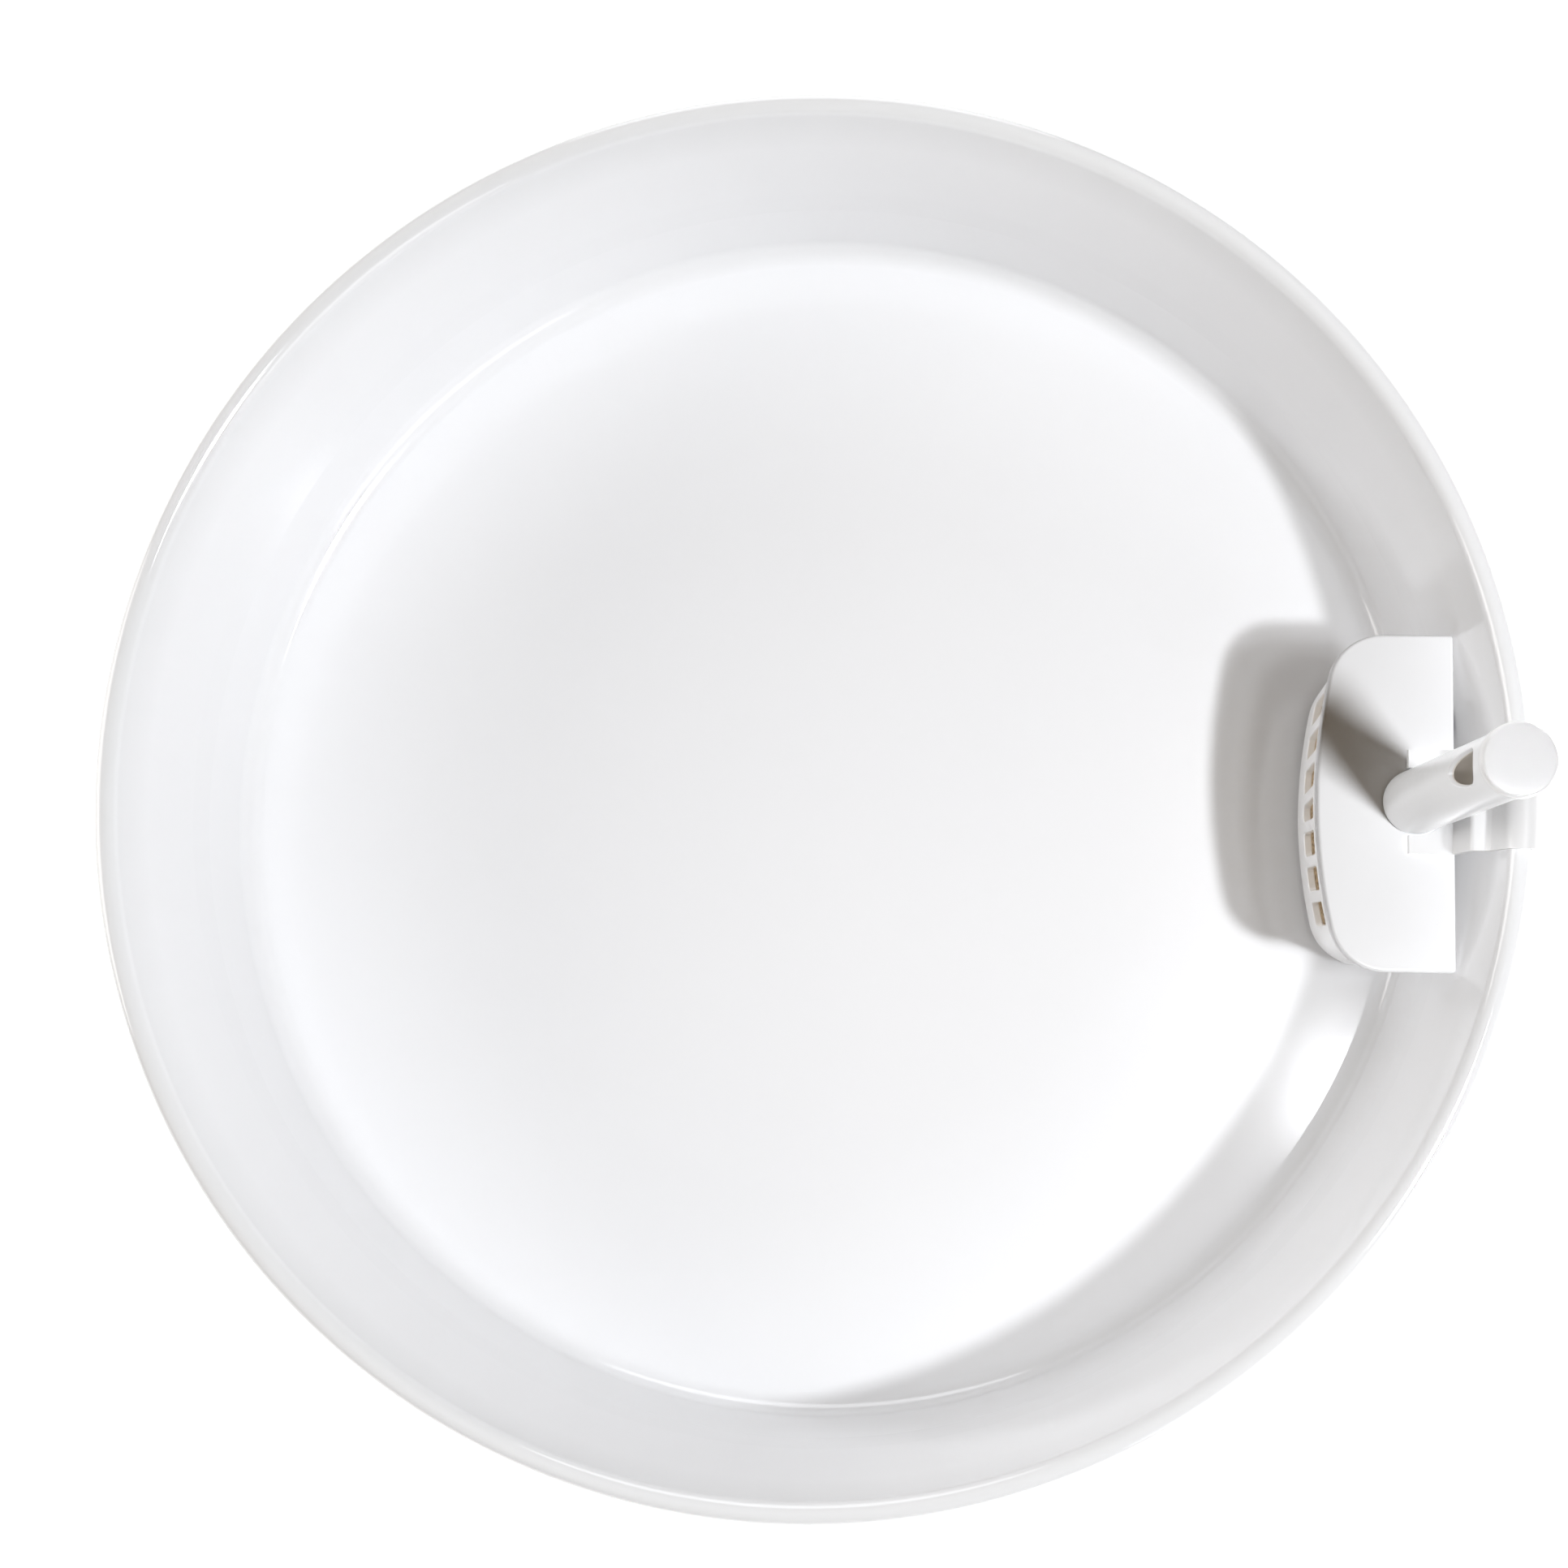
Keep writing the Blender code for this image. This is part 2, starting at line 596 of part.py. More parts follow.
def make_rotor():
    axis = Vector((IMPELLER_X, 0.0, IMPELLER_Z))

    def along(y):
        return axis + Vector((0, y, 0))

    cylinder("impeller_shaft", SHAFT_RADIUS, along(CHAMBER_FRONT - 1.4 * MM),
             along(ROTOR_WELL_BACK + 2.6 * MM), STEEL, 12)
    magnet = cylinder("rotor_magnet", ROTOR_WELL_RADIUS - 0.5 * MM, along(3.6 * MM),
                      along(ROTOR_WELL_BACK - MM), MAGNET)
    cut(magnet, cylinder("bore", SHAFT_RADIUS + GAP, along(MM), along(30 * MM), steps=12))
    shade(magnet)
    wheel = cylinder("impeller", CHAMBER_RADIUS - 0.8 * MM, along(0.7 * MM), along(1.7 * MM), IMPELLER_BLUE,
                     COLUMN_STEPS)
    join(wheel, cylinder("hub", HUB_RADIUS, along(-3.2 * MM), along(3.3 * MM)))
    blades = []
    for number in range(BLADE_COUNT):
        blade = box("blade", (1.4 * MM, -3.2 * MM, -0.45 * MM), (CHAMBER_RADIUS - MM, MM, 0.45 * MM))
        centre = blade.location.copy()
        turn = Matrix.Rotation(math.radians(360 / BLADE_COUNT * number), 4, "Y")
        blade.matrix_world = Matrix.Translation(axis) @ turn @ Matrix.Translation(centre)
        blades.append(blade)
    join(wheel, *blades)
    cut(wheel, cylinder("bore", SHAFT_RADIUS + GAP, along(-9 * MM), along(9 * MM), steps=12))
    shade(wheel)


def make_deck():
    low = DECK_TOP - DECK_THICKNESS
    outline = d_outline(DECK_FRONT, DECK_BACK, DECK_HALF_WIDTH, DECK_CORNER)
    deck = bevel(prism("deck", outline, low, DECK_TOP, WHITE_SATIN), 0.6 * MM, 2, 60)
    wall = HOUSING_WALL + GAP
    front = DECK_FRONT + HOUSING_OVERHANG + wall
    half = DECK_HALF_WIDTH - HOUSING_OVERHANG - wall
    lip = d_outline(front + 0.2 * MM, HOUSING_BACK - wall, half - 0.2 * MM, DECK_CORNER - wall,
                    HOUSING_BACK_CORNER - wall, FRONT_BOW - wall)
    join(deck, prism("lip", lip, low - LIP_DEPTH, low + 0.5 * MM))
    cutters = [cylinder("column_hole", SPIGOT_OUTER + GAP, (COLUMN_X, 0, low - 9 * MM),
                        (COLUMN_X, 0, DECK_TOP + MM))]
    for side in (-1, 1):
        x, y = PEG_X, side * PEG_Y
        cutters.append(cylinder("peg_hole", PEG_RADIUS + GAP, (x, y, low - 9 * MM), (x, y, DECK_TOP + MM),
                                steps=12))
    cut(deck, *cutters)
    shade(deck)


def bracket_profile():
    """Side view of the bracket: a foot on the deck, a riser, a shelf, and a hook over the rim's bead."""
    foot = DECK_TOP + GAP
    bead = RIM_WIDTH / 2
    bead_r, bead_z = RIM_RADIUS - bead, FLOOR + TRAY_DEPTH - bead
    inside, outside = bead + GAP, bead + GAP + 1.1 * MM
    shelf, shelf_top = foot + BRACKET_RISE, foot + BRACKET_RISE + BRACKET_SHEET
    points = [(BRACKET_FRONT, foot), (141.5 * MM, foot), (142.5 * MM, shelf), (145.6 * MM, shelf),
              (146.5 * MM, shelf + 1.0 * MM)]
    points += arc(bead_r, bead_z, inside, 176, 0, 8)
    points += [(bead_r + inside, bead_z - 4.6 * MM), (bead_r + outside - 0.4 * MM, bead_z - 4.8 * MM)]
    points += arc(bead_r, bead_z, outside, 0, 176, 8)
    points += [(145.3 * MM, shelf_top + 1.0 * MM), (144.4 * MM, shelf_top), (141.1 * MM, shelf_top),
               (140.1 * MM, foot + BRACKET_SHEET),
               (BRACKET_FRONT, foot + BRACKET_SHEET)]
    return points


def make_bracket():
    """The profile is drawn flat, stood up across the rim, then wrapped to the rim's circle."""
    bracket = prism("rim_bracket", bracket_profile(), -BRACKET_HALF_WIDTH, BRACKET_HALF_WIDTH,
                    WHITE_SATIN)
    shape = bmesh.new()
    shape.from_mesh(bracket.data)
    upright = Matrix.Rotation(math.radians(90), 3, "X")
    bmesh.ops.rotate(shape, verts=shape.verts, cent=(0, 0, 0), matrix=upright)
    for number in range(1, 8):
        y = (number / 4 - 1) * BRACKET_HALF_WIDTH
        everything = shape.verts[:] + shape.edges[:] + shape.faces[:]
        bmesh.ops.bisect_plane(shape, geom=everything, plane_co=(0, y, 0), plane_no=(0, 1, 0), dist=1e-6)
    for vertex in shape.verts:
        x, y = vertex.co.x, vertex.co.y
        hold = min(max((x - 137 * MM) / (8 * MM), 0.0), 1.0)
        vertex.co.x = x - hold * (x - math.sqrt(x * x - y * y))
    bmesh.ops.recalc_face_normals(shape, faces=shape.faces)
    shape.to_mesh(bracket.data)
    shape.free()
    bracket.matrix_world = Matrix.Identity(4)
    foot = DECK_TOP + GAP
    for side in (-1, 1):
        x, y = PEG_X, side * PEG_Y
        peg = cylinder("peg", PEG_RADIUS, (x, y, foot - PEG_DEPTH), (x, y, foot + 0.8 * MM), steps=12)
        join(bracket, peg)
    cut(bracket, cylinder("notch", NOTCH_RADIUS, (COLUMN_X, 0, foot - 9 * MM),
                          (COLUMN_X, 0, foot + 9 * MM), steps=32))
    shade(bracket)


def make_column():
    top = COLUMN_TOP
    column = turned("spout_column", [
        (COLUMN_TOP_RADIUS - 0.3 * MM, top),
        (COLUMN_TOP_RADIUS, top - 0.3 * MM),
        (COLUMN_RADIUS, COLUMN_FOOT + 0.4 * MM),
        (COLUMN_RADIUS - 0.4 * MM, COLUMN_FOOT),
        (SPIGOT_OUTER, COLUMN_FOOT),
        (SPIGOT_OUTER, COLUMN_SPIGOT_END),
        (SPIGOT_INNER, COLUMN_SPIGOT_END),
        (SPIGOT_INNER, COLUMN_FOOT + 2.2 * MM),
        (COLUMN_BORE, COLUMN_FOOT + 4.2 * MM),
        (COLUMN_BORE, top),
    ], WHITE_SATIN, COLUMN_STEPS, (COLUMN_X, 0.0))
    outline = []
    for number in range(32):
        turn = 2 * math.pi * number / 32
        rise = MOUTH_ABOVE if math.sin(turn) > 0 else MOUTH_BELOW
        outline.append((-MOUTH_WIDEST - rise * math.sin(turn), MOUTH_HALF_WIDTH * math.cos(turn)))
    mouth = prism("mouth", outline, -4.5 * MM, 4.5 * MM)
    mouth.matrix_world = (Matrix.Translation((COLUMN_X - 7.5 * MM, 0, 0))
                          @ Matrix.Rotation(math.radians(90), 4, "Y"))
    cut(column, mouth)
    shade(column)


def make_cap():
    low = COLUMN_TOP + GAP
    plug = COLUMN_BORE - GAP
    turned("column_cap", [
        (0.0, CAP_TOP),
        (CAP_RADIUS - 0.7 * MM, CAP_TOP),
        (CAP_RADIUS - 0.2 * MM, CAP_TOP - 0.2 * MM),
        (CAP_RADIUS, CAP_TOP - 0.7 * MM),
        (CAP_RADIUS, low),
        (plug, low),
        (plug, low - CAP_PLUG),
        (plug - 1.4 * MM, low - CAP_PLUG),
        (plug - 1.4 * MM, low + 0.5 * MM),
        (0.0, low + 0.5 * MM),
    ], WHITE_SATIN, COLUMN_STEPS, (COLUMN_X, 0.0))


make_base_plate()
make_feet()
make_races()
make_cage_and_balls()
make_tray()
make_retainer()
make_housing()
make_grommet()
make_housing_pads()
make_filter()
make_pump_body()
make_impeller_cover()
make_rotor()
make_deck()
make_bracket()
make_column()
make_cap()
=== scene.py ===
import json
import math

import bmesh
import bpy
import numpy as np
from mathutils import Matrix, Vector

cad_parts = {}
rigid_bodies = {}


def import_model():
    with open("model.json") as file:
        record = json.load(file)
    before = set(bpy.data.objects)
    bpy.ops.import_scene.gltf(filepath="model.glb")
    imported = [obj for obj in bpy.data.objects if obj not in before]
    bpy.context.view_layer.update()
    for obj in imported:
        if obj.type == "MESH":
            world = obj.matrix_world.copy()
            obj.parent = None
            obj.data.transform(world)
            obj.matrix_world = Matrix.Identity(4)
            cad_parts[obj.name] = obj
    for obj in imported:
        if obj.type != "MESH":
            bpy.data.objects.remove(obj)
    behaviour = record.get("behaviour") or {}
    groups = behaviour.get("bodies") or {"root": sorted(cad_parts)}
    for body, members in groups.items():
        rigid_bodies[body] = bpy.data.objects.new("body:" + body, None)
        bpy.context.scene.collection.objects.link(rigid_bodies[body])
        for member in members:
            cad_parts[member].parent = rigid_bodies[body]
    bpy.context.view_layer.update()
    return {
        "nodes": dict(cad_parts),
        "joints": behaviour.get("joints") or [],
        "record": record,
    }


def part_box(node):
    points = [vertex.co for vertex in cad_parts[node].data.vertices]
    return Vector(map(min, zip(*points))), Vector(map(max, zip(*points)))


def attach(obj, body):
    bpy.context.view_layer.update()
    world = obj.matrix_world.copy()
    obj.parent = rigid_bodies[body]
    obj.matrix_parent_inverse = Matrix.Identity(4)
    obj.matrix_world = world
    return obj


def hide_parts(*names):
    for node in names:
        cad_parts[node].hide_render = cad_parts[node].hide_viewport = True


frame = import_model()
mm = 0.001
mountSpots = {m["name"]: m["pos_m"] for m in frame["record"]["mounts"]}
jointSpots = {j["name"]: j.get("pos_m") for j in frame["joints"]}
floorTop = mountSpots["tray_floor"][2]      # upper side of the tray's floor
columnX = jointSpots["column_swivel"][0]
print("frame loaded:", len(frame["nodes"]), "nodes")


def roundedPath(corners, steps=6, closed=False):
    # Corners are (x, z, radius). Each corner becomes the arc that touches both of its sides:
    # centre = corner + (unit sum of the side directions) * radius / sin(half angle).
    points = []
    count = len(corners)
    for i, (x, z, radius) in enumerate(corners):
        here = np.array([x, z])
        if radius <= 0 or (not closed and i in (0, count - 1)):
            points.append(here[None])
            continue
        before = np.array(corners[i - 1][:2]) - here
        after = np.array(corners[(i + 1) % count][:2]) - here
        before, after = before / np.linalg.norm(before), after / np.linalg.norm(after)
        half = math.acos(np.clip(before @ after, -1, 1)) / 2
        middle = (before + after) / np.linalg.norm(before + after)
        centre = here + middle * radius / math.sin(half)
        reach = radius / math.tan(half)
        a, b = here + before * reach - centre, here + after * reach - centre
        swing = math.pi - 2 * half
        t = np.linspace(0, 1, steps + 1)[:, None]
        points.append(centre + (np.sin((1 - t) * swing) * a + np.sin(t * swing) * b) / math.sin(swing))
    return np.concatenate(points)


def gridFaces(rows, columns, wrapRows=False, wrapColumns=False, start=0):
    # Quads between neighbouring points of a rows x columns grid, numbered row by row.
    r = np.arange(rows if wrapRows else rows - 1)[:, None]
    c = np.arange(columns if wrapColumns else columns - 1)[None, :]
    r2, c2 = (r + 1) % rows, (c + 1) % columns
    quads = np.stack([r * columns + c, r * columns + c2, r2 * columns + c2, r2 * columns + c], -1)
    return (quads.reshape(-1, 4) + start).tolist()


def buildPiece(name, points, faces, material, body, nodes, sharp=40, weld=2e-6):
    # One mesh from points and faces: doubles merged, faces turned outwards, smooth with true corners kept.
    mesh = bpy.data.meshes.new(name)
    mesh.from_pydata(np.asarray(points, float).reshape(-1, 3).tolist(), [], faces)
    work = bmesh.new()
    work.from_mesh(mesh)
    bmesh.ops.remove_doubles(work, verts=work.verts, dist=weld)
    bmesh.ops.dissolve_degenerate(work, edges=work.edges, dist=1e-7)
    bmesh.ops.recalc_face_normals(work, faces=work.faces)
    work.to_mesh(mesh)
    work.free()
    mesh.shade_smooth()
    mesh.set_sharp_from_angle(angle=math.radians(sharp))
    piece = bpy.data.objects.new(name, mesh)
    bpy.context.scene.collection.objects.link(piece)
    mesh.materials.append(material)
    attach(piece, body)
    if nodes:
        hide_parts(*nodes)
    return piece


def softenEdges(piece, width, segments=2, angle=40):
    bevel = piece.modifiers.new("edge", "BEVEL")
    bevel.width, bevel.segments = width, segments
    bevel.limit_method, bevel.angle_limit = "ANGLE", math.radians(angle)
    bevel.use_clamp_overlap = True
    return piece


def turnedPoints(profile, segments, centre=(0.0, 0.0)):
    # x = cx + r cos(a), y = cy + r sin(a), z = z for every profile point (r, z) and angle a.
    angle = np.linspace(0, 2 * math.pi, segments, endpoint=False)[None, :]
    r, z = profile[:, 0][:, None], profile[:, 1][:, None]
    return np.stack([centre[0] + r * np.cos(angle), centre[1] + r * np.sin(angle), z + 0 * angle], -1)


def turnedPiece(name, corners, segments, material, body, nodes, centre=(0.0, 0.0), steps=6, sharp=40):
    # A closed profile that starts and ends on the axis, or a loop that never meets it, turned a full circle.
    loop = corners[0][0] > 0
    profile = roundedPath(corners, steps, loop)
    points = turnedPoints(profile, segments, centre)
    faces = gridFaces(len(profile), segments, loop, True)
    return buildPiece(name, points, faces, material, body, nodes, sharp)


class Wire:
    # A socket that can stand in a Python expression; every operator adds one Math node.
    def __init__(self, graph, socket):
        self.graph, self.socket = graph, socket

    def __add__(self, other):
        return self.graph.maths("ADD", self, other)

    def __sub__(self, other):
        return self.graph.maths("SUBTRACT", self, other)

    def __rsub__(self, other):
        return self.graph.maths("SUBTRACT", other, self)

    def __mul__(self, other):
        return self.graph.maths("MULTIPLY", self, other)

    def __truediv__(self, other):
        return self.graph.maths("DIVIDE", self, other)

    def __pow__(self, other):
        return self.graph.maths("POWER", self, other)

    __radd__, __rmul__ = __add__, __mul__


class Finish:
    # One material: a Principled shader, the piece's own coordinates and the nodes that vary it.
    def __init__(self, name, colour, roughness, metallic=0.0, **fixed):
        self.material = bpy.data.materials.new(name)
        self.material.use_nodes = True
        self.tree = self.material.node_tree
        self.shader = self.tree.nodes["Principled BSDF"]
        self.place = self.node("ShaderNodeTexCoord")["Object"]
        self.put("Base Color", (*colour, 1.0))
        self.put("Roughness", roughness)
        self.put("Metallic", metallic)
        for socket, value in fixed.items():
            self.put(socket.replace("_", " "), value)

    def put(self, socket, value):
        if isinstance(value, Wire):
            self.tree.links.new(value.socket, self.shader.inputs[socket])
        else:
            self.shader.inputs[socket].default_value = value

    def node(self, kind, settings=None, inputs=None):
        made = self.tree.nodes.new(kind)
        for key, value in (settings or {}).items():
            setattr(made, key, value)
        for key, value in (inputs or {}).items():
            if isinstance(value, Wire):
                self.tree.links.new(value.socket, made.inputs[key])
            else:
                made.inputs[key].default_value = value
        return {socket.name: Wire(self, socket) for socket in reversed(made.outputs) if socket.enabled}

    def maths(self, operation, a, b=0.0):
        return self.node("ShaderNodeMath", {"operation": operation}, {0: a, 1: b})["Value"]

    def noise(self, scale, detail=3.0, roughness=0.5, place=None):
        return self.node("ShaderNodeTexNoise", None, {
            "Vector": place or self.place, "Scale": scale, "Detail": detail, "Roughness": roughness})["Fac"]

    def cells(self, scale, feature="F1", place=None):
        return self.node("ShaderNodeTexVoronoi", {"feature": feature}, {
            "Vector": place or self.place, "Scale": scale})["Distance"]

    def band(self, value, low, high):
        # 0 below low, 1 above high, straight between.
        return self.node("ShaderNodeMapRange", {"clamp": True}, {
            "Value": value, "From Min": low, "From Max": high})["Result"]

    def blend(self, factor, a, b):
        a, b = (c if isinstance(c, Wire) else (*c, 1.0) for c in (a, b))
        return self.node("ShaderNodeMix", {"data_type": "RGBA"}, {0: factor, 6: a, 7: b})["Result"]

    def radius(self, centre=(0.0, 0.0)):
        # Distance from an upright axis: sqrt((x - cx)^2 + (y - cy)^2).
        parts = self.node("ShaderNodeSeparateXYZ", None, {"Vector": self.place})
        x, y = parts["X"] - centre[0], parts["Y"] - centre[1]
        return self.maths("SQRT", x * x + y * y)

    def bump(self, height, distance, strength=1.0):
        made = self.node("ShaderNodeBump", None, {
            "Height": height, "Distance": distance, "Strength": strength})
        self.put("Normal", made["Normal"])


def glossWhite():
    # Injection-moulded gloss: a slow waviness, a fine dust in the roughness and a few long hairline scuffs.
    # The rim band is painted a touch darker: painted shade that tones down the brightly lit rim.
    look = {"roughness": 0.07, "waviness": 0.00002, "scuff": 0.03,
            "rimStart": 146.8 * mm, "rimFull": 148.2 * mm}
    finish = Finish("gloss white plastic", (0.895, 0.90, 0.915), look["roughness"], Coat_Weight=0.35,
                    Coat_Roughness=0.03)
    cloudy = finish.noise(9.0, 2.0)
    fine = finish.noise(900.0, 2.0)
    stretched = finish.node("ShaderNodeMapping", {"vector_type": "TEXTURE"}, {
        "Vector": finish.place, "Rotation": (0.0, 0.0, 0.6), "Scale": (0.9, 0.03, 0.3)})["Vector"]
    scuffs = finish.band(finish.noise(26.0, 5.0, 0.65, stretched), 0.60, 0.72)
    plain = finish.blend(finish.band(cloudy, 0.3, 0.7), (0.888, 0.893, 0.909), (0.902, 0.906, 0.920))
    rimShadeMask = finish.band(finish.radius(), look["rimStart"], look["rimFull"])
    # Painted shade: the rim band blends to a darker grey-white.
    finish.put("Base Color", finish.blend(rimShadeMask, plain, (0.80, 0.805, 0.815)))
    finish.put("Roughness", look["roughness"] + 0.015 * fine + look["scuff"] * scuffs + 0.015 * cloudy)
    finish.bump(finish.noise(70.0, 1.0) + 0.06 * fine, look["waviness"], 0.6)
    return finish.material


def satinWhite(name, colour, roughness, grain, bore=0.0):
    # Fine-grained moulding with a light orange peel and slightly polished high spots. Within the bore radius
    # round the column's axis it is painted a darker brownish white: painted shade inside the column.
    finish = Finish(name, colour, roughness, Coat_Weight=0.12, Coat_Roughness=0.2)
    peel = finish.noise(650.0, 3.0)
    cloudy = finish.noise(25.0, 2.0)
    darker = tuple(0.975 * c for c in colour)
    shade = finish.blend(finish.band(cloudy, 0.35, 0.65), darker, colour)
    if bore:
        # Painted shade: inside the bore radius the colour turns darker and browner.
        wall = finish.band(finish.radius((columnX, 0.0)), bore, bore + 0.3 * mm)
        shade = finish.blend(wall, (0.75, 0.71, 0.66), shade)
    finish.put("Base Color", shade)
    finish.put("Roughness", roughness - 0.04 + 0.07 * peel + 0.05 * cloudy)
    finish.bump(peel + 0.5 * finish.noise(2400.0, 2.0), grain, 0.5)
    return finish.material


def sparkGrey():
    # Spark-eroded grey moulding: coarse pits over a fine grain.
    finish = Finish("spark-textured grey plastic", (0.60, 0.605, 0.61), 0.48)
    grain = finish.noise(1500.0, 4.0, 0.6)
    pits = finish.cells(900.0)
    tone = finish.band(grain, 0.3, 0.7)
    finish.put("Base Color", finish.blend(tone, (0.55, 0.555, 0.56), (0.64, 0.645, 0.65)))
    finish.put("Roughness", 0.42 + 0.16 * grain)
    finish.bump(grain + 0.6 * pits, 0.00006, 0.8)
    return finish.material


def turnedSteel(name, centre=(0.0, 0.0)):
    # Pressed and plated steel with fine turning marks, rings of noise about the axis.
    finish = Finish(name, (0.64, 0.65, 0.67), 0.26, 1.0)
    ring = finish.node("ShaderNodeCombineXYZ", None, {"X": finish.radius(centre) * 40.0})["Vector"]
    marks = finish.noise(60.0, 4.0, 0.7, ring)
    stain = finish.noise(55.0, 3.0)
    tone = finish.band(stain, 0.35, 0.7)
    finish.put("Base Color", finish.blend(tone, (0.66, 0.67, 0.69), (0.56, 0.57, 0.58)))
    finish.put("Roughness", 0.20 + 0.16 * marks + 0.08 * stain)
    finish.bump(marks, 0.00002, 0.6)
    return finish.material


def ballSteel():
    # Lapped chrome steel with faint grease smears.
    finish = Finish("ball steel", (0.70, 0.71, 0.73), 0.08, 1.0)
    smear = finish.band(finish.noise(260.0, 3.0), 0.45, 0.7)
    finish.put("Base Color", finish.blend(smear, (0.72, 0.73, 0.75), (0.60, 0.60, 0.58)))
    finish.put("Roughness", 0.06 + 0.16 * smear)
    finish.bump(smear, 0.00001, 0.3)
    return finish.material


def cageNylon():
    # Natural nylon, mottled, with a fine satin grain.
    finish = Finish("cage nylon", (0.80, 0.78, 0.70), 0.40)
    mottle = finish.noise(120.0, 4.0)
    tone = finish.band(mottle, 0.3, 0.7)
    finish.put("Base Color", finish.blend(tone, (0.76, 0.735, 0.65), (0.83, 0.81, 0.74)))
    finish.put("Roughness", 0.34 + 0.14 * mottle)
    finish.bump(finish.noise(900.0, 3.0), 0.00003, 0.6)
    return finish.material


def softRubber():
    # Matt rubber: a fine pebble with dusty patches.
    finish = Finish("soft grey rubber", (0.20, 0.20, 0.21), 0.72)
    pebble = finish.cells(1600.0, "SMOOTH_F1")
    dust = finish.band(finish.noise(160.0, 4.0), 0.5, 0.75)
    finish.put("Base Color", finish.blend(dust, (0.17, 0.17, 0.18), (0.27, 0.265, 0.26)))
    finish.put("Roughness", 0.62 + 0.2 * dust)
    finish.bump(pebble, 0.00008, 0.7)
    return finish.material


def openFoam():
    # Open-cell foam: lighter struts, with the pores painted dark as painted shade in the open cells, on two
    # sizes of cell.
    finish = Finish("filter foam", (0.60, 0.47, 0.33), 0.95)
    pores = finish.cells(1100.0)
    large = finish.cells(520.0)
    struts = finish.band(pores, 0.15, 0.55)
    # Painted shade: the pores are coloured darker than the struts.
    finish.put("Base Color", finish.blend(struts, (0.33, 0.24, 0.15), (0.74, 0.60, 0.43)))
    finish.put("Roughness", 0.86 + 0.12 * struts)
    finish.bump(pores + 0.7 * large, 0.0006, 1.0)
    return finish.material


def pumpBlack():
    # Black moulding with a slightly glossier potted look in patches.
    finish = Finish("pump plastic", (0.05, 0.05, 0.055), 0.40)
    grain = finish.noise(1300.0, 4.0)
    patch = finish.band(finish.noise(60.0, 2.0), 0.45, 0.6)
    finish.put("Base Color", finish.blend(patch, (0.042, 0.042, 0.046), (0.062, 0.062, 0.068)))
    finish.put("Roughness", 0.34 + 0.14 * grain + 0.08 * patch)
    finish.bump(grain, 0.00005, 0.7)
    return finish.material


def impellerBlue():
    # Blue moulding with a fine grain.
    finish = Finish("impeller plastic", (0.24, 0.36, 0.52), 0.35)
    grain = finish.noise(1500.0, 3.0)
    tone = finish.band(grain, 0.3, 0.7)
    finish.put("Base Color", finish.blend(tone, (0.21, 0.33, 0.49), (0.27, 0.39, 0.55)))
    finish.put("Roughness", 0.28 + 0.14 * grain)
    finish.bump(grain, 0.00003, 0.6)
    return finish.material


def groundFerrite():
    # Dark sintered ferrite with light grinding specks.
    finish = Finish("ground ferrite", (0.09, 0.09, 0.095), 0.50, 0.1)
    grain = finish.noise(2600.0, 5.0, 0.7)
    tone = finish.band(grain, 0.35, 0.75)
    finish.put("Base Color", finish.blend(tone, (0.07, 0.07, 0.075), (0.14, 0.14, 0.145)))
    finish.put("Roughness", 0.38 + 0.25 * grain)
    finish.bump(grain, 0.00004, 0.8)
    return finish.material


white = glossWhite()
satin = satinWhite("satin white plastic", (0.885, 0.887, 0.895), 0.30, 0.000012)
deckWhite = satinWhite("deck white plastic", (0.90, 0.902, 0.912), 0.28, 0.000002)
columnWhite = satinWhite("column white plastic", (0.875, 0.885, 0.90), 0.22, 0.000004, 5.6 * mm)
capWhite = satinWhite("cap white plastic", (0.885, 0.89, 0.90), 0.22, 0.000004)
greyBase = sparkGrey()
raceSteel = turnedSteel("race steel")
ballChrome = ballSteel()
nylon = cageNylon()
rubber = softRubber()
foam = openFoam()
pumpPlastic = pumpBlack()
bluePlastic = impellerBlue()
ferrite = groundFerrite()
print("materials made")


trayLow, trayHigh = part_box("tray")
raceRib = 59.7 * mm      # outer radius of the ribs that centre the races, on the tray and on the base
tray = {
    "rimRadius": trayHigh.x, "rimWidth": 4.8 * mm, "skirt": 5.0 * mm, "wall": 2.6 * mm, "floor": 3.2 * mm,
    "floorRadius": 143.0 * mm, "cove": 4.8 * mm, "step": 18.0 * mm, "stepOut": 0.45 * mm,
    "grooveOut": 118.0 * mm, "grooveIn": 114.0 * mm, "grooveDeep": 0.5 * mm, "rib": 1.6 * mm,
    "spigot": 7.0 * mm, "screwHole": 1.9 * mm, "segments": 288,
}


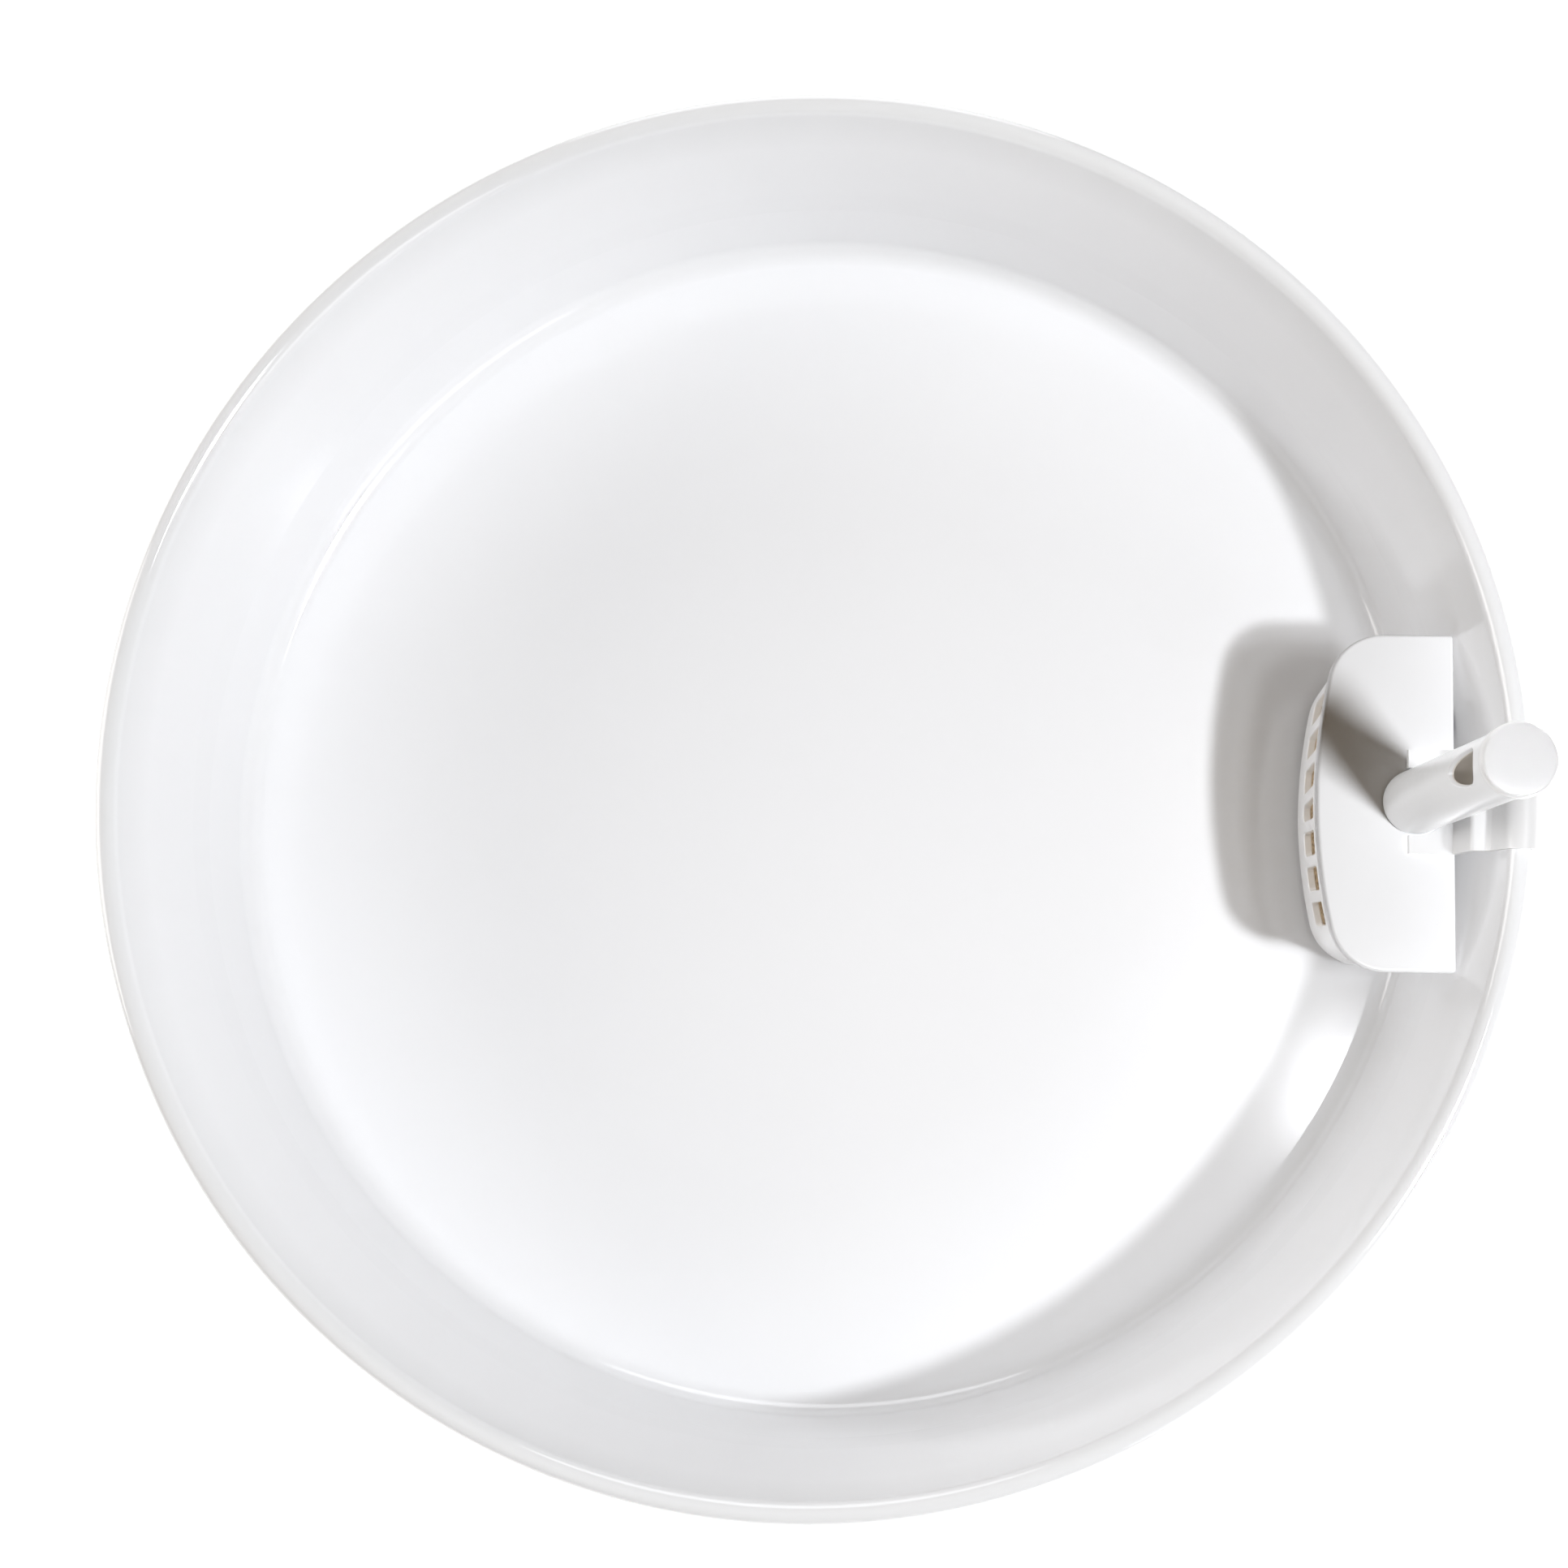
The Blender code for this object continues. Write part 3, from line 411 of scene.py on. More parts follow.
def makeTray():
    # Profile: floor, tight cove, a low band that ends in a soft step line, leaning wall, round bead, outside
    # wall, then the underside with its ring groove, race rib and spigot.
    top = trayHigh.z
    bead = tray["rimWidth"] / 2
    beadR = tray["rimRadius"] - bead
    wallTop = tray["rimRadius"] - tray["rimWidth"]
    lean = (wallTop - tray["floorRadius"]) / (top - floorTop)
    stepZ = floorTop + tray["step"]
    stepR = tray["floorRadius"] + lean * tray["step"] + tray["stepOut"]
    underside = floorTop - tray["floor"]
    angle = np.radians(np.linspace(180, 0, 17))
    beadArc = np.stack([beadR + bead * np.cos(angle), top - bead + bead * np.sin(angle)], -1)
    inner = roundedPath([
        (0.0, floorTop, 0), (tray["floorRadius"] * 0.25, floorTop, 0),
        (tray["floorRadius"] * 0.6, floorTop, 0), (tray["floorRadius"], floorTop, tray["cove"]),
        (stepR, stepZ, 1.2 * mm), (stepR - 0.15 * mm + lean * 8 * mm, stepZ + 8 * mm, 6 * mm),
        (wallTop, top - bead, 0)], 8)
    slope, grooveZ, ribZ = 0.6 * mm, underside + tray["grooveDeep"], underside - tray["rib"]
    outer = roundedPath([
        (tray["rimRadius"], top - bead, 0), (tray["rimRadius"], top - tray["skirt"], 0.5 * mm),
        (wallTop + tray["wall"], top - tray["skirt"], 0.4 * mm),
        (tray["floorRadius"] + tray["wall"], underside, 6.0 * mm),
        (tray["grooveOut"], underside, 0.3 * mm), (tray["grooveOut"] - slope, grooveZ, 0.3 * mm),
        (tray["grooveIn"] + slope, grooveZ, 0.3 * mm), (tray["grooveIn"], underside, 0.3 * mm),
        (raceRib, underside, 0.3 * mm), (raceRib, ribZ, 0.3 * mm),
        (raceRib - 1.9 * mm, ribZ, 0.3 * mm), (raceRib - 2.0 * mm, underside, 0.3 * mm),
        (tray["spigot"], underside, 0.8 * mm), (tray["spigot"], trayLow.z, 0.5 * mm),
        (tray["screwHole"] + 0.05 * mm, trayLow.z, 0.2 * mm), (tray["screwHole"], underside - 1.0 * mm, 0),
        (0.0, underside - 1.0 * mm, 0)], 5)
    profile = np.concatenate([inner[:-1], beadArc, outer[1:]])
    points = turnedPoints(profile, tray["segments"])
    faces = gridFaces(len(profile), tray["segments"], False, True)
    buildPiece("trayShell", points, faces, white, "turntable", ["tray"], 50)


makeTray()
print("tray made")


base = {
    "skin": 2.7 * mm, "edge": 3.0 * mm, "wellOut": 92.0 * mm, "wellIn": 72.0 * mm, "wellDeep": 0.5 * mm,
    "rib": 1.6 * mm, "hub": 17.0 * mm, "hubHollow": 18.0 * mm, "hubLid": 2.5 * mm, "hubHole": 7.4 * mm,
}


def makeBase():
    # Profile: raised edge, flat underside with a ring well, hollow hub with its bore, top skin and race rib.
    low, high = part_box("base_plate")
    radius, hubTop = high.x, high.z
    skin, wellZ, slope = low.z + base["skin"], low.z + base["wellDeep"], 0.6 * mm
    edgeTop, ribTop, hubUnder = skin + base["edge"], skin + base["rib"], hubTop - base["hubLid"]
    turnedPiece("basePlate", [
        (radius - 5.0 * mm, skin, 0.8 * mm), (radius - 3.4 * mm, edgeTop, 0.6 * mm),
        (radius - 0.9 * mm, edgeTop, 0.9 * mm), (radius, skin + 1.2 * mm, 0.6 * mm),
        (radius, low.z, 1.0 * mm),
        (base["wellOut"], low.z, 0.3 * mm), (base["wellOut"] - slope, wellZ, 0.3 * mm),
        (base["wellIn"] + slope, wellZ, 0.3 * mm), (base["wellIn"], low.z, 0.3 * mm),
        (base["hubHollow"], low.z, 0.5 * mm), (base["hubHollow"] - 1.5 * mm, hubUnder, 0.8 * mm),
        (base["hubHole"], hubUnder, 0.2 * mm), (base["hubHole"], hubTop, 0.3 * mm),
        (base["hub"], hubTop, 0.8 * mm), (base["hub"] + 3.0 * mm, skin, 1.2 * mm),
        (raceRib - 2.0 * mm, skin, 0.3 * mm), (raceRib - 1.9 * mm, ribTop, 0.3 * mm),
        (raceRib, ribTop, 0.3 * mm), (raceRib, skin, 0.2 * mm),
    ], 192, greyBase, "base", ["base_plate"], steps=3)


def makeFoot(number):
    # A rubber disc with a shallow grip ring and a hollow middle in its underside.
    low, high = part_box(f"base_foot_{number}")
    centre = ((low.x + high.x) / 2, (low.y + high.y) / 2)
    r = (high.x - low.x) / 2
    turnedPiece(f"baseFoot{number}", [
        (0.0, high.z, 0), (r, high.z, 0.3 * mm), (r, low.z, 0.5 * mm),
        (r * 0.78, low.z, 0.1 * mm), (r * 0.74, low.z + 0.5 * mm, 0.1 * mm),
        (r * 0.58, low.z + 0.5 * mm, 0.1 * mm), (r * 0.54, low.z, 0.1 * mm),
        (r * 0.36, low.z, 0.1 * mm), (r * 0.32, low.z + 0.5 * mm, 0.1 * mm), (0.0, low.z + 0.5 * mm, 0),
    ], 64, rubber, "base", [f"base_foot_{number}"], centre, 3)


def makeRace(name, node, body, grooveUp):
    # A pressed ring: flat lands, a groove that follows the balls, and square edges that a small bevel
    # softens.
    low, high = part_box(node)
    radius, halfWidth, reach, segments = 68.0 * mm, 8.0 * mm, 3.3 * mm, 192
    ballZ = jointSpots["tray_spin"][2]
    land = high.z if grooveUp else low.z
    back = low.z if grooveUp else high.z
    half = math.acos(abs(ballZ - land) / reach)
    middle = -math.pi / 2 if grooveUp else math.pi / 2
    turn = np.linspace(middle - half, middle + half, 17)
    groove = np.stack([radius + reach * np.cos(turn), ballZ + reach * np.sin(turn)], -1)
    if not grooveUp:
        groove = groove[::-1]
    inside, outside = radius - halfWidth, radius + halfWidth
    edges = np.array([(outside, land), (outside, back), (inside, back), (inside, land)])
    profile = np.concatenate([groove, edges])
    points = turnedPoints(profile, segments)
    faces = gridFaces(len(profile), segments, True, True)
    piece = buildPiece(name, points, faces, raceSteel, body, [node], 30)
    softenEdges(piece, 0.2 * mm, 2, 50)


def makeBall(number):
    # x, y, z = centre + R (cos u sin v, sin u sin v, cos v).
    node = f"ball_{number:02d}"
    low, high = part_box(node)
    centre = np.array((low + high) / 2)
    radius = (high.z - low.z) / 2
    rings, segments = 19, 36
    v = np.linspace(0, math.pi, rings)[:, None]
    u = np.linspace(0, 2 * math.pi, segments, endpoint=False)[None, :]
    points = centre + radius * np.stack([np.sin(v) * np.cos(u), np.sin(v) * np.sin(u), np.cos(v) + 0 * u], -1)
    faces = gridFaces(rings, segments, False, True)
    buildPiece(f"bearingBall{number}", points, faces, ballChrome, "cage", [node], 180)


def makeWasher():
    # A flat ring, rounded more on its lower edge.
    low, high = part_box("retaining_washer")
    turnedPiece("retainingWasher", [
        (high.x, high.z, 0.2 * mm), (high.x, low.z, 0.3 * mm),
        (1.9 * mm, low.z, 0.2 * mm), (1.9 * mm, high.z, 0.2 * mm),
    ], 96, raceSteel, "turntable", ["retaining_washer"], steps=3)


makeBase()
for number in range(1, 5):
    makeFoot(number)
makeRace("lowerRace", "lower_race", "base", True)
makeRace("upperRace", "upper_race", "turntable", False)
for number in range(1, 13):
    makeBall(number)
makeWasher()
print("base and bearing made")


deckLow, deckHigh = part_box("deck")
housingLow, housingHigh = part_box("pump_housing")
unit = {
    "front": deckLow.x, "back": deckHigh.x, "half": deckHigh.y, "corner": 12.0 * mm, "bow": 130.0 * mm,
    "overhang": 1.0 * mm, "draft": 2.6 * mm, "wall": 1.8 * mm,
    "slots": 7, "pitch": 8.2 * mm, "slotWidth": 5.5 * mm, "slotLow": floorTop + 13.5 * mm,
    "slotHigh": floorTop + 30.0 * mm, "slotRound": 1.1 * mm,
}


def dPath(front, back, half, corner, backCorner, bow, spacing=0.35 * mm):
    # The outline of the D from the middle of its bowed front, down one side to the middle of its back: a
    # large arc, a corner arc that touches it, a straight side, a back corner arc and a straight back.
    # Gives length along the path, position and outward direction.
    centreX, cornerY = front + bow, half - corner
    cornerX = centreX - math.sqrt((bow - corner) ** 2 - cornerY ** 2)
    swing = math.atan2(cornerY, centreX - cornerX)
    spans = [("arc", centreX, 0.0, bow, 0.0, swing), ("arc", cornerX, cornerY, corner, swing, math.pi / 2),
             ("line", cornerX, half, back - backCorner, half, math.pi / 2),
             ("arc", back - backCorner, half - backCorner, backCorner, math.pi / 2, math.pi),
             ("line", back, half - backCorner, back, 0.0, math.pi)]
    spots, ways = [], []
    for kind, a, b, c, d, e in spans:
        if kind == "arc":
            turn = np.linspace(d, e, max(8, int(c * (e - d) / spacing)))
            ways.append(np.stack([-np.cos(turn), np.sin(turn)], -1))
            spots.append(np.array([a, b]) + c * ways[-1])
        else:
            t = np.linspace(0, 1, max(3, int(math.hypot(c - a, d - b) / spacing)))[:, None]
            spots.append(np.array([a, b]) + t * np.array([c - a, d - b]))
            ways.append(np.tile([-math.cos(e), math.sin(e)], (len(t), 1)))
    spot, way = np.concatenate(spots), np.concatenate(ways)
    gone = np.concatenate([[0], np.cumsum(np.linalg.norm(np.diff(spot, axis=0), axis=1))])
    return gone, spot, way


def alongPath(path, s, inset):
    # Position at signed length s from the front's middle, moved inwards by inset; negative s mirrors it.
    gone, spot, way = path
    side = np.where(s < 0, -1.0, 1.0)
    reach = np.abs(s)
    x, y = np.interp(reach, gone, spot[:, 0]), np.interp(reach, gone, spot[:, 1])
    nx, ny = np.interp(reach, gone, way[:, 0]), np.interp(reach, gone, way[:, 1])
    return x - nx * inset, side * (y - ny * inset)


def loopLengths(path, spacing):
    # Signed lengths that go once round the loop, closer together in the tight corners.
    gone, spot, way = path
    turn = np.concatenate([[0], np.cumsum(np.linalg.norm(np.diff(way, axis=0), axis=1))])
    measure = gone / spacing + turn / 0.12
    half = np.interp(np.linspace(0, measure[-1], int(measure[-1]) + 2), measure, gone)
    return np.concatenate([half[:-1], -half[:0:-1]])


def leanIn(x, y, z, low, high):
    # The housing's draft: its front and sides move in towards the bottom, in proportion to the depth.
    depth = np.clip((high - z) / (high - low), 0, 1) * unit["draft"]
    middle = (unit["front"] + unit["back"]) / 2
    soft = np.clip((middle + 4 * mm - x) / (8 * mm), 0, 1)
    return x + depth * soft, y - np.sign(y) * np.minimum(0.5 * depth, np.abs(y))


def ringStack(path, lengths, profile):
    # One ring of the path for every (inset, z) of the profile.
    inset, z = profile[:, 0][:, None], profile[:, 1][:, None]
    s = lengths[None, :]
    x, y = alongPath(path, s + 0 * inset, inset + 0 * s)
    return np.stack([x, y, z + 0 * x], -1)


lid = {
    "thick": 3.0 * mm, "edge": 0.65 * mm, "backCorner": 0.8 * mm, "eye": 4.5 * mm, "spacing": 1.5 * mm,
    "lipInset": 3.3 * mm, "lipWall": 1.4 * mm, "lipGap": 0.1 * mm,
}


def makeDeck():
    # A lid: flat top, rounded upper edge, straight side, the column's hole, and a locating lip that drops
    # into the housing.
    path = dPath(unit["front"], unit["back"], unit["half"], unit["corner"], lid["backCorner"], unit["bow"])
    lengths = loopLengths(path, lid["spacing"])
    top, low = deckHigh.z, deckHigh.z - lid["thick"]
    edge = roundedPath([
        (0.78 * mm, top, 0), (0.0, top, lid["edge"]), (0.0, low, 0.3 * mm), (0.7 * mm, low, 0)], 6)
    rings = ringStack(path, lengths, edge)
    inset, wall, lipTop = lid["lipInset"], lid["lipWall"], low - lid["lipGap"]
    bend = 2.1 * mm
    lipPath = dPath(unit["front"] + inset, housingHigh.x - bend, unit["half"] - inset,
                    unit["corner"] - bend, 7.0 * mm, unit["bow"] - bend)
    lipProfile = roundedPath([
        (0.0, lipTop, 0), (0.0, deckLow.z, 0.4 * mm), (wall, deckLow.z, 0.3 * mm), (wall, lipTop, 0)], 4)
    lipLengths = loopLengths(lipPath, lid["spacing"])
    lip = ringStack(lipPath, lipLengths, lipProfile)
    spread = np.array([1.0, 0.93, 0.75, 0.45])[:, None, None]

    def fan(ring):
        # Rings from the column's round hole out to the lid's outline: ring + share * (hole - ring).
        turn = np.arctan2(ring[:, 1], ring[:, 0] - columnX)
        x, y = columnX + lid["eye"] * np.cos(turn), lid["eye"] * np.sin(turn)
        return ring + spread * (np.stack([x, y, ring[:, 2]], -1) - ring)

    stack = np.concatenate([fan(rings[0]), rings, fan(rings[-1])[::-1]])
    faces = gridFaces(len(stack), len(lengths), True, True)
    faces += gridFaces(len(lipProfile), len(lipLengths), True, True, len(stack) * len(lengths))
    points = np.concatenate([stack.reshape(-1, 3), lip.reshape(-1, 3)])
    buildPiece("deckLid", points, faces, deckWhite, "unit_deck", ["deck"], 50)


def squareLoop(across, up):
    # Points once round the square from -1 to 1, evenly along each side.
    along, rise = np.linspace(-1, 1, across + 1), np.linspace(-1, 1, up + 1)
    return np.concatenate([
        np.stack([along[:-1], -np.ones(across)], -1), np.stack([np.ones(up), rise[:-1]], -1),
        np.stack([along[:0:-1], np.ones(across)], -1), np.stack([-np.ones(up), rise[:0:-1]], -1)])


def slotPatch(centre, cellHalf, middle, bandHalf, across, up, rings):
    # A rectangle with a rounded hole. q runs round the unit square; the rectangle is centre + q * half sizes,
    # the hole is the clamped core plus a corner radius, and the patch runs straight from one to the other.
    q = squareLoop(across, up)
    holeHalf = np.array([unit["slotWidth"] / 2, (unit["slotHigh"] - unit["slotLow"]) / 2])
    core = holeHalf - unit["slotRound"]
    inner = np.clip(q * holeHalf, -core, core)
    away = q * holeHalf - inner
    away = away / np.linalg.norm(away, axis=1, keepdims=True)
    hole = inner + away * unit["slotRound"]
    rectangle = q * np.array([cellHalf, bandHalf])
    t = np.linspace(0, 1, rings + 1)[:, None, None]
    return (1 - t) * hole + t * rectangle + np.array([centre, middle])


def joinLoop(loop, total):
    # Quads that join a loop of the outer skin to the same loop of the inner skin, total points further on.
    onward = np.roll(loop, -1)
    return np.stack([loop, onward, onward + total, loop + total], -1).tolist()


def makeHousing():
    # The wall is worked out flat, as length round the D against height, with a patch for each slot, and is
    # then bent on to the path twice: as the outer skin and, a wall's thickness inwards, as the inner skin.
    low, high = housingLow.z, housingHigh.z
    front, half = unit["front"] + unit["overhang"], unit["half"] - unit["overhang"]
    path = dPath(front, housingHigh.x, half, unit["corner"], 9.0 * mm, unit["bow"])
    across, up, rings, firstBand, skirt = 8, 12, 3, 4, 2.0 * mm
    slots, cellHalf = unit["slots"], unit["pitch"] / 2
    bandHalf = (unit["slotHigh"] - unit["slotLow"]) / 2 + 1.6 * mm
    middle = (unit["slotHigh"] + unit["slotLow"]) / 2
    slotReach = slots * cellHalf
    rest = loopLengths(path, 1.6 * mm)
    rest = rest[np.abs(rest) > slotReach + 0.5 * mm]
    s = np.concatenate([np.linspace(-slotReach, slotReach, slots * across + 1),
                        np.sort(rest[rest > 0]), np.sort(rest[rest < 0])])
    rows = np.concatenate([
        np.linspace(low + skirt, middle - bandHalf, firstBand + 1)[:-1],
        np.linspace(middle - bandHalf, middle + bandHalf, up + 1),
        np.linspace(middle + bandHalf, high, 6)[1:]])
    count = len(s)
    quads = np.array(gridFaces(len(rows), count, False, True)).reshape(len(rows) - 1, count, 4)
    keep = np.ones(quads.shape[:2], bool)
    keep[firstBand:firstBand + up, :slots * across] = False
    wallFaces = quads[keep].tolist()
    grid = np.stack(np.broadcast_arrays(s[None, :], rows[:, None]), -1)
    flat, start, around = [grid.reshape(-1, 2)], len(rows) * count, 2 * (across + up)
    loops = [(len(rows) - 1) * count + np.arange(count)]
    for number in range(slots):
        centre = (number - (slots - 1) / 2) * unit["pitch"]
        flat.append(slotPatch(centre, cellHalf, middle, bandHalf, across, up, rings).reshape(-1, 2))
        wallFaces += gridFaces(rings + 1, around, False, True, start)
        loops.append(np.arange(start, start + around))
        start += (rings + 1) * around
    flat = np.concatenate(flat)

    def skin(inset):
        x, y = alongPath(path, flat[:, 0], inset)
        x, y = leanIn(x, y, flat[:, 1], low, high)
        return np.stack([x, y, flat[:, 1]], -1)

    total = len(flat)
    points = [skin(0.0), skin(unit["wall"])]
    faces = wallFaces + [[total + i for i in face] for face in wallFaces]
    for loop in loops:
        faces += joinLoop(loop, total)
    # The bottom turns in with a round edge outside; inside it is flat.
    outside = roundedPath([(0.0, low + skirt, 0), (0.0, low, 1.4 * mm), (3.0 * mm, low, 0)], 5)
    inside = np.array([(unit["wall"], low + skirt), (4.0 * mm, low + skirt)])
    start = 2 * total
    for profile in (outside, inside):
        ring = ringStack(path, s, profile)
        x, y = leanIn(ring[..., 0], ring[..., 1], ring[..., 2], low, high)
        points.append(np.stack([x, y, ring[..., 2]], -1).reshape(-1, 3))
        faces += gridFaces(len(profile), count, False, True, start)
        faces.append([start + (len(profile) - 1) * count + i for i in range(count)])
        start += len(profile) * count
    piece = buildPiece("pumpHousing", np.concatenate(points), faces, satin, "water_unit", ["pump_housing"],
                       50)
    softenEdges(piece, 0.25 * mm, 2, 55)


makeDeck()
makeHousing()
print("deck and housing made")


strapLow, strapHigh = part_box("rim_bracket")
strap = {
    "half": strapHigh.y, "front": strapLow.x, "foot": deckHigh.z + 0.3 * mm, "sheet": 1.6 * mm,
    "hookSheet": 1.1 * mm, "gap": 0.3 * mm, "rise": 9.4 * mm, "notch": 7.4 * mm, "riser": 139.8 * mm,
    "hookDrop": 4.6 * mm,
}


def makeBracket():
    # A strip with a fork at its foot. Each line across it starts at the fork's edge, runs flat on the deck,
    # up a riser, along a shelf and over the rim's bead; beyond the deck it is wrapped to the rim's circle:
    # x -> sqrt(x^2 - y^2).
    foot, sheet = strap["foot"], strap["sheet"]
    bead = tray["rimWidth"] / 2
    beadR, beadZ = tray["rimRadius"] - bead, trayHigh.z - bead
    shelf, shelfTop = foot + strap["rise"], foot + strap["rise"] + sheet
    turn = np.radians(np.linspace(176, 0, 17))

    def hook(start, radius, tip):
        # The sheet's side view: the start, then round the bead, centre + radius (cos a, sin a), to the tip.
        arc = np.stack([beadR + radius * np.cos(turn), beadZ + radius * np.sin(turn)], -1)
        return np.concatenate([roundedPath(start + [(*arc[0], 0)], 6), arc[1:], [tip]])

    inside = bead + strap["gap"]
    outside = inside + strap["hookSheet"]
    under = hook([(strap["riser"], foot, 0), (141.5 * mm, foot, 0.5 * mm), (142.5 * mm, shelf, 0.6 * mm),
                  (145.6 * mm, shelf, 0.6 * mm), (146.5 * mm, shelf + 1.0 * mm, 0.5 * mm)],
                 inside, (beadR + inside, beadZ - strap["hookDrop"]))
    over = hook([(strap["riser"], foot + sheet, 0), (140.1 * mm, foot + sheet, 0.25 * mm),
                 (141.1 * mm, shelfTop, 1.0 * mm), (144.4 * mm, shelfTop, 0.8 * mm),
                 (145.3 * mm, shelfTop + 1.0 * mm, 0.7 * mm)],
                outside, (beadR + outside - 0.3 * mm, beadZ - strap["hookDrop"] - 0.2 * mm))
    notch = strap["notch"]
    prong = np.linspace(notch + 0.01 * mm, strap["half"], 5)
    y = np.concatenate([-prong[::-1], np.sin(np.linspace(-math.pi / 2, math.pi / 2, 25)) * notch, prong])
    rounded = columnX + np.sqrt(np.clip(notch ** 2 - y ** 2, 0, None))
    edge = np.where(np.abs(y) <= notch, rounded, strap["front"])
    t = np.linspace(0, 1, 7)[:-1, None]

    def sheetPoints(path):
        footX = edge[None, :] * (1 - t) + path[0, 0] * t
        x = np.concatenate([footX, path[:, 0][:, None] + 0 * y[None, :]])
        z = np.concatenate([0 * footX + path[0, 1], path[:, 1][:, None] + 0 * y[None, :]])
        hold = np.clip((x - 137 * mm) / (8 * mm), 0, 1)
        return np.stack([x - hold * (x - np.sqrt(x * x - y * y)), y + 0 * x, z], -1)

    lower, upper = sheetPoints(under), sheetPoints(over)
    rows, columns = lower.shape[0], len(y)
    total = rows * columns
    faces = gridFaces(rows, columns) + gridFaces(rows, columns, start=total)
    faces += joinLoop(np.concatenate([
        np.arange(columns), columns * np.arange(1, rows) + columns - 1,
        (rows - 1) * columns + np.arange(columns - 2, -1, -1), columns * np.arange(rows - 2, 0, -1)]), total)
    points = np.concatenate([lower.reshape(-1, 3), upper.reshape(-1, 3)])
    piece = buildPiece("rimBracket", points, faces, satin, "unit_deck", ["rim_bracket"], 50)
    softenEdges(piece, 0.3 * mm, 3, 55)


makeBracket()
print("bracket made")


columnLow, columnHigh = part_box("spout_column")
capLow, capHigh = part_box("column_cap")
column = {
    "radius": (columnHigh.y - columnLow.y) / 2, "topRadius": 6.4 * mm, "bore": 5.4 * mm,
    "foot": deckHigh.z + 0.3 * mm, "footEdge": 0.6 * mm, "spigot": 4.2 * mm, "spigotBore": 3.2 * mm,
    "mouthHalf": 3.8 * mm, "mouthWidest": floorTop + 100 * mm, "mouthAbove": 5.0 * mm,
    "mouthBelow": 10.0 * mm, "cellTurn": math.radians(50), "cellBelow": 12.0 * mm, "cellAbove": 6.6 * mm,
}


def mouthPatch(low, high, across, up, rings):
    # The mouth's part of the wall, laid flat as turn about the axis against height. q runs round a square;
    # the hole is two half ellipses that meet at the widest height; the patch runs out to the rectangle.
    q = squareLoop(across, up)
    corner = np.stack([q[:, 0] * column["cellTurn"], low + (q[:, 1] + 1) / 2 * (high - low)], -1)
    way = np.arctan2(q[:, 1], q[:, 0])
    reach = np.where(np.sin(way) > 0, column["mouthAbove"], column["mouthBelow"])
    half = math.asin(column["mouthHalf"] / column["radius"])
    hole = np.stack([half * np.cos(way), column["mouthWidest"] + reach * np.sin(way)], -1)
    t = np.linspace(0, 1, rings + 1)[:, None, None]
    return (1 - t) * hole + t * corner


def makeColumn():
    # The wall is worked out flat, as turn about the axis against height, and bent round twice: once to the
    # tapering outer radius and once to the bore. Turn 0 faces the tray's middle.
    top, foot = columnHigh.z, column["foot"]
    radius, bore, cellTurn = column["radius"], column["bore"], column["cellTurn"]
    across, up, rings, below = 16, 30, 5, 19
    low, high = column["mouthWidest"] - column["cellBelow"], column["mouthWidest"] + column["cellAbove"]
    footEdge = foot + column["footEdge"]
    turn = np.concatenate([np.linspace(-cellTurn, cellTurn, across + 1),
                           np.linspace(cellTurn, 2 * math.pi - cellTurn, 58)[1:-1]])
    rows = np.concatenate([np.linspace(footEdge, low, below + 1)[:-1], np.linspace(low, high, up + 1),
                           np.linspace(high, top, 4)[1:]])
    count, start, around = len(turn), len(rows) * len(turn), 2 * (across + up)
    quads = np.array(gridFaces(len(rows), count, False, True)).reshape(len(rows) - 1, count, 4)
    keep = np.ones(quads.shape[:2], bool)
    keep[below:below + up, :across] = False
    wallFaces = quads[keep].tolist() + gridFaces(rings + 1, around, False, True, start)
    grid = np.stack(np.broadcast_arrays(turn[None, :], rows[:, None]), -1)
    patch = mouthPatch(low, high, across, up, rings)
    flat = np.concatenate([grid.reshape(-1, 2), patch.reshape(-1, 2)])
    total = len(flat)

    def bend(r):
        return np.stack([columnX - r * np.cos(flat[:, 0]), r * np.sin(flat[:, 0]), flat[:, 1]], -1)

    taper = np.clip((flat[:, 1] - foot) / (top - foot), 0, 1)
    points = [bend(radius + (column["topRadius"] - radius) * taper), bend(bore + 0 * taper)]
    faces = wallFaces + [[total + i for i in face] for face in wallFaces]
    faces += joinLoop(start + np.arange(around), total)
    faces += joinLoop((len(rows) - 1) * count + np.arange(count), total)
    # The foot: down the bore, through the spigot and back up to the wall's lower edge.
    spigot, spigotBore = column["spigot"], column["spigotBore"]
    profile = roundedPath([
        (bore, footEdge, 0), (bore, foot + 2.8 * mm, 0),
        (spigotBore, foot + 2.2 * mm, 0), (spigotBore, columnLow.z, 0.2 * mm),
        (spigot, columnLow.z, 0.4 * mm), (spigot, foot, 0.2 * mm),
        (radius, foot, 0.4 * mm), (radius, footEdge, 0)], 5)[1:]
    r = profile[:, 0][:, None]
    ring = np.stack([columnX - r * np.cos(turn), r * np.sin(turn), profile[:, 1][:, None] + 0 * turn], -1)
    points.append(ring.reshape(-1, 3))
    faces += gridFaces(len(profile), count, False, True, 2 * total)
    inner, first = total + np.arange(count), 2 * total + np.arange(count)
    faces += np.stack([inner, np.roll(inner, -1), np.roll(first, -1), first], -1).tolist()
    piece = buildPiece("spoutColumn", np.concatenate(points), faces, columnWhite, "column", ["spout_column"],
                       50)
    softenEdges(piece, 0.2 * mm, 2, 55)


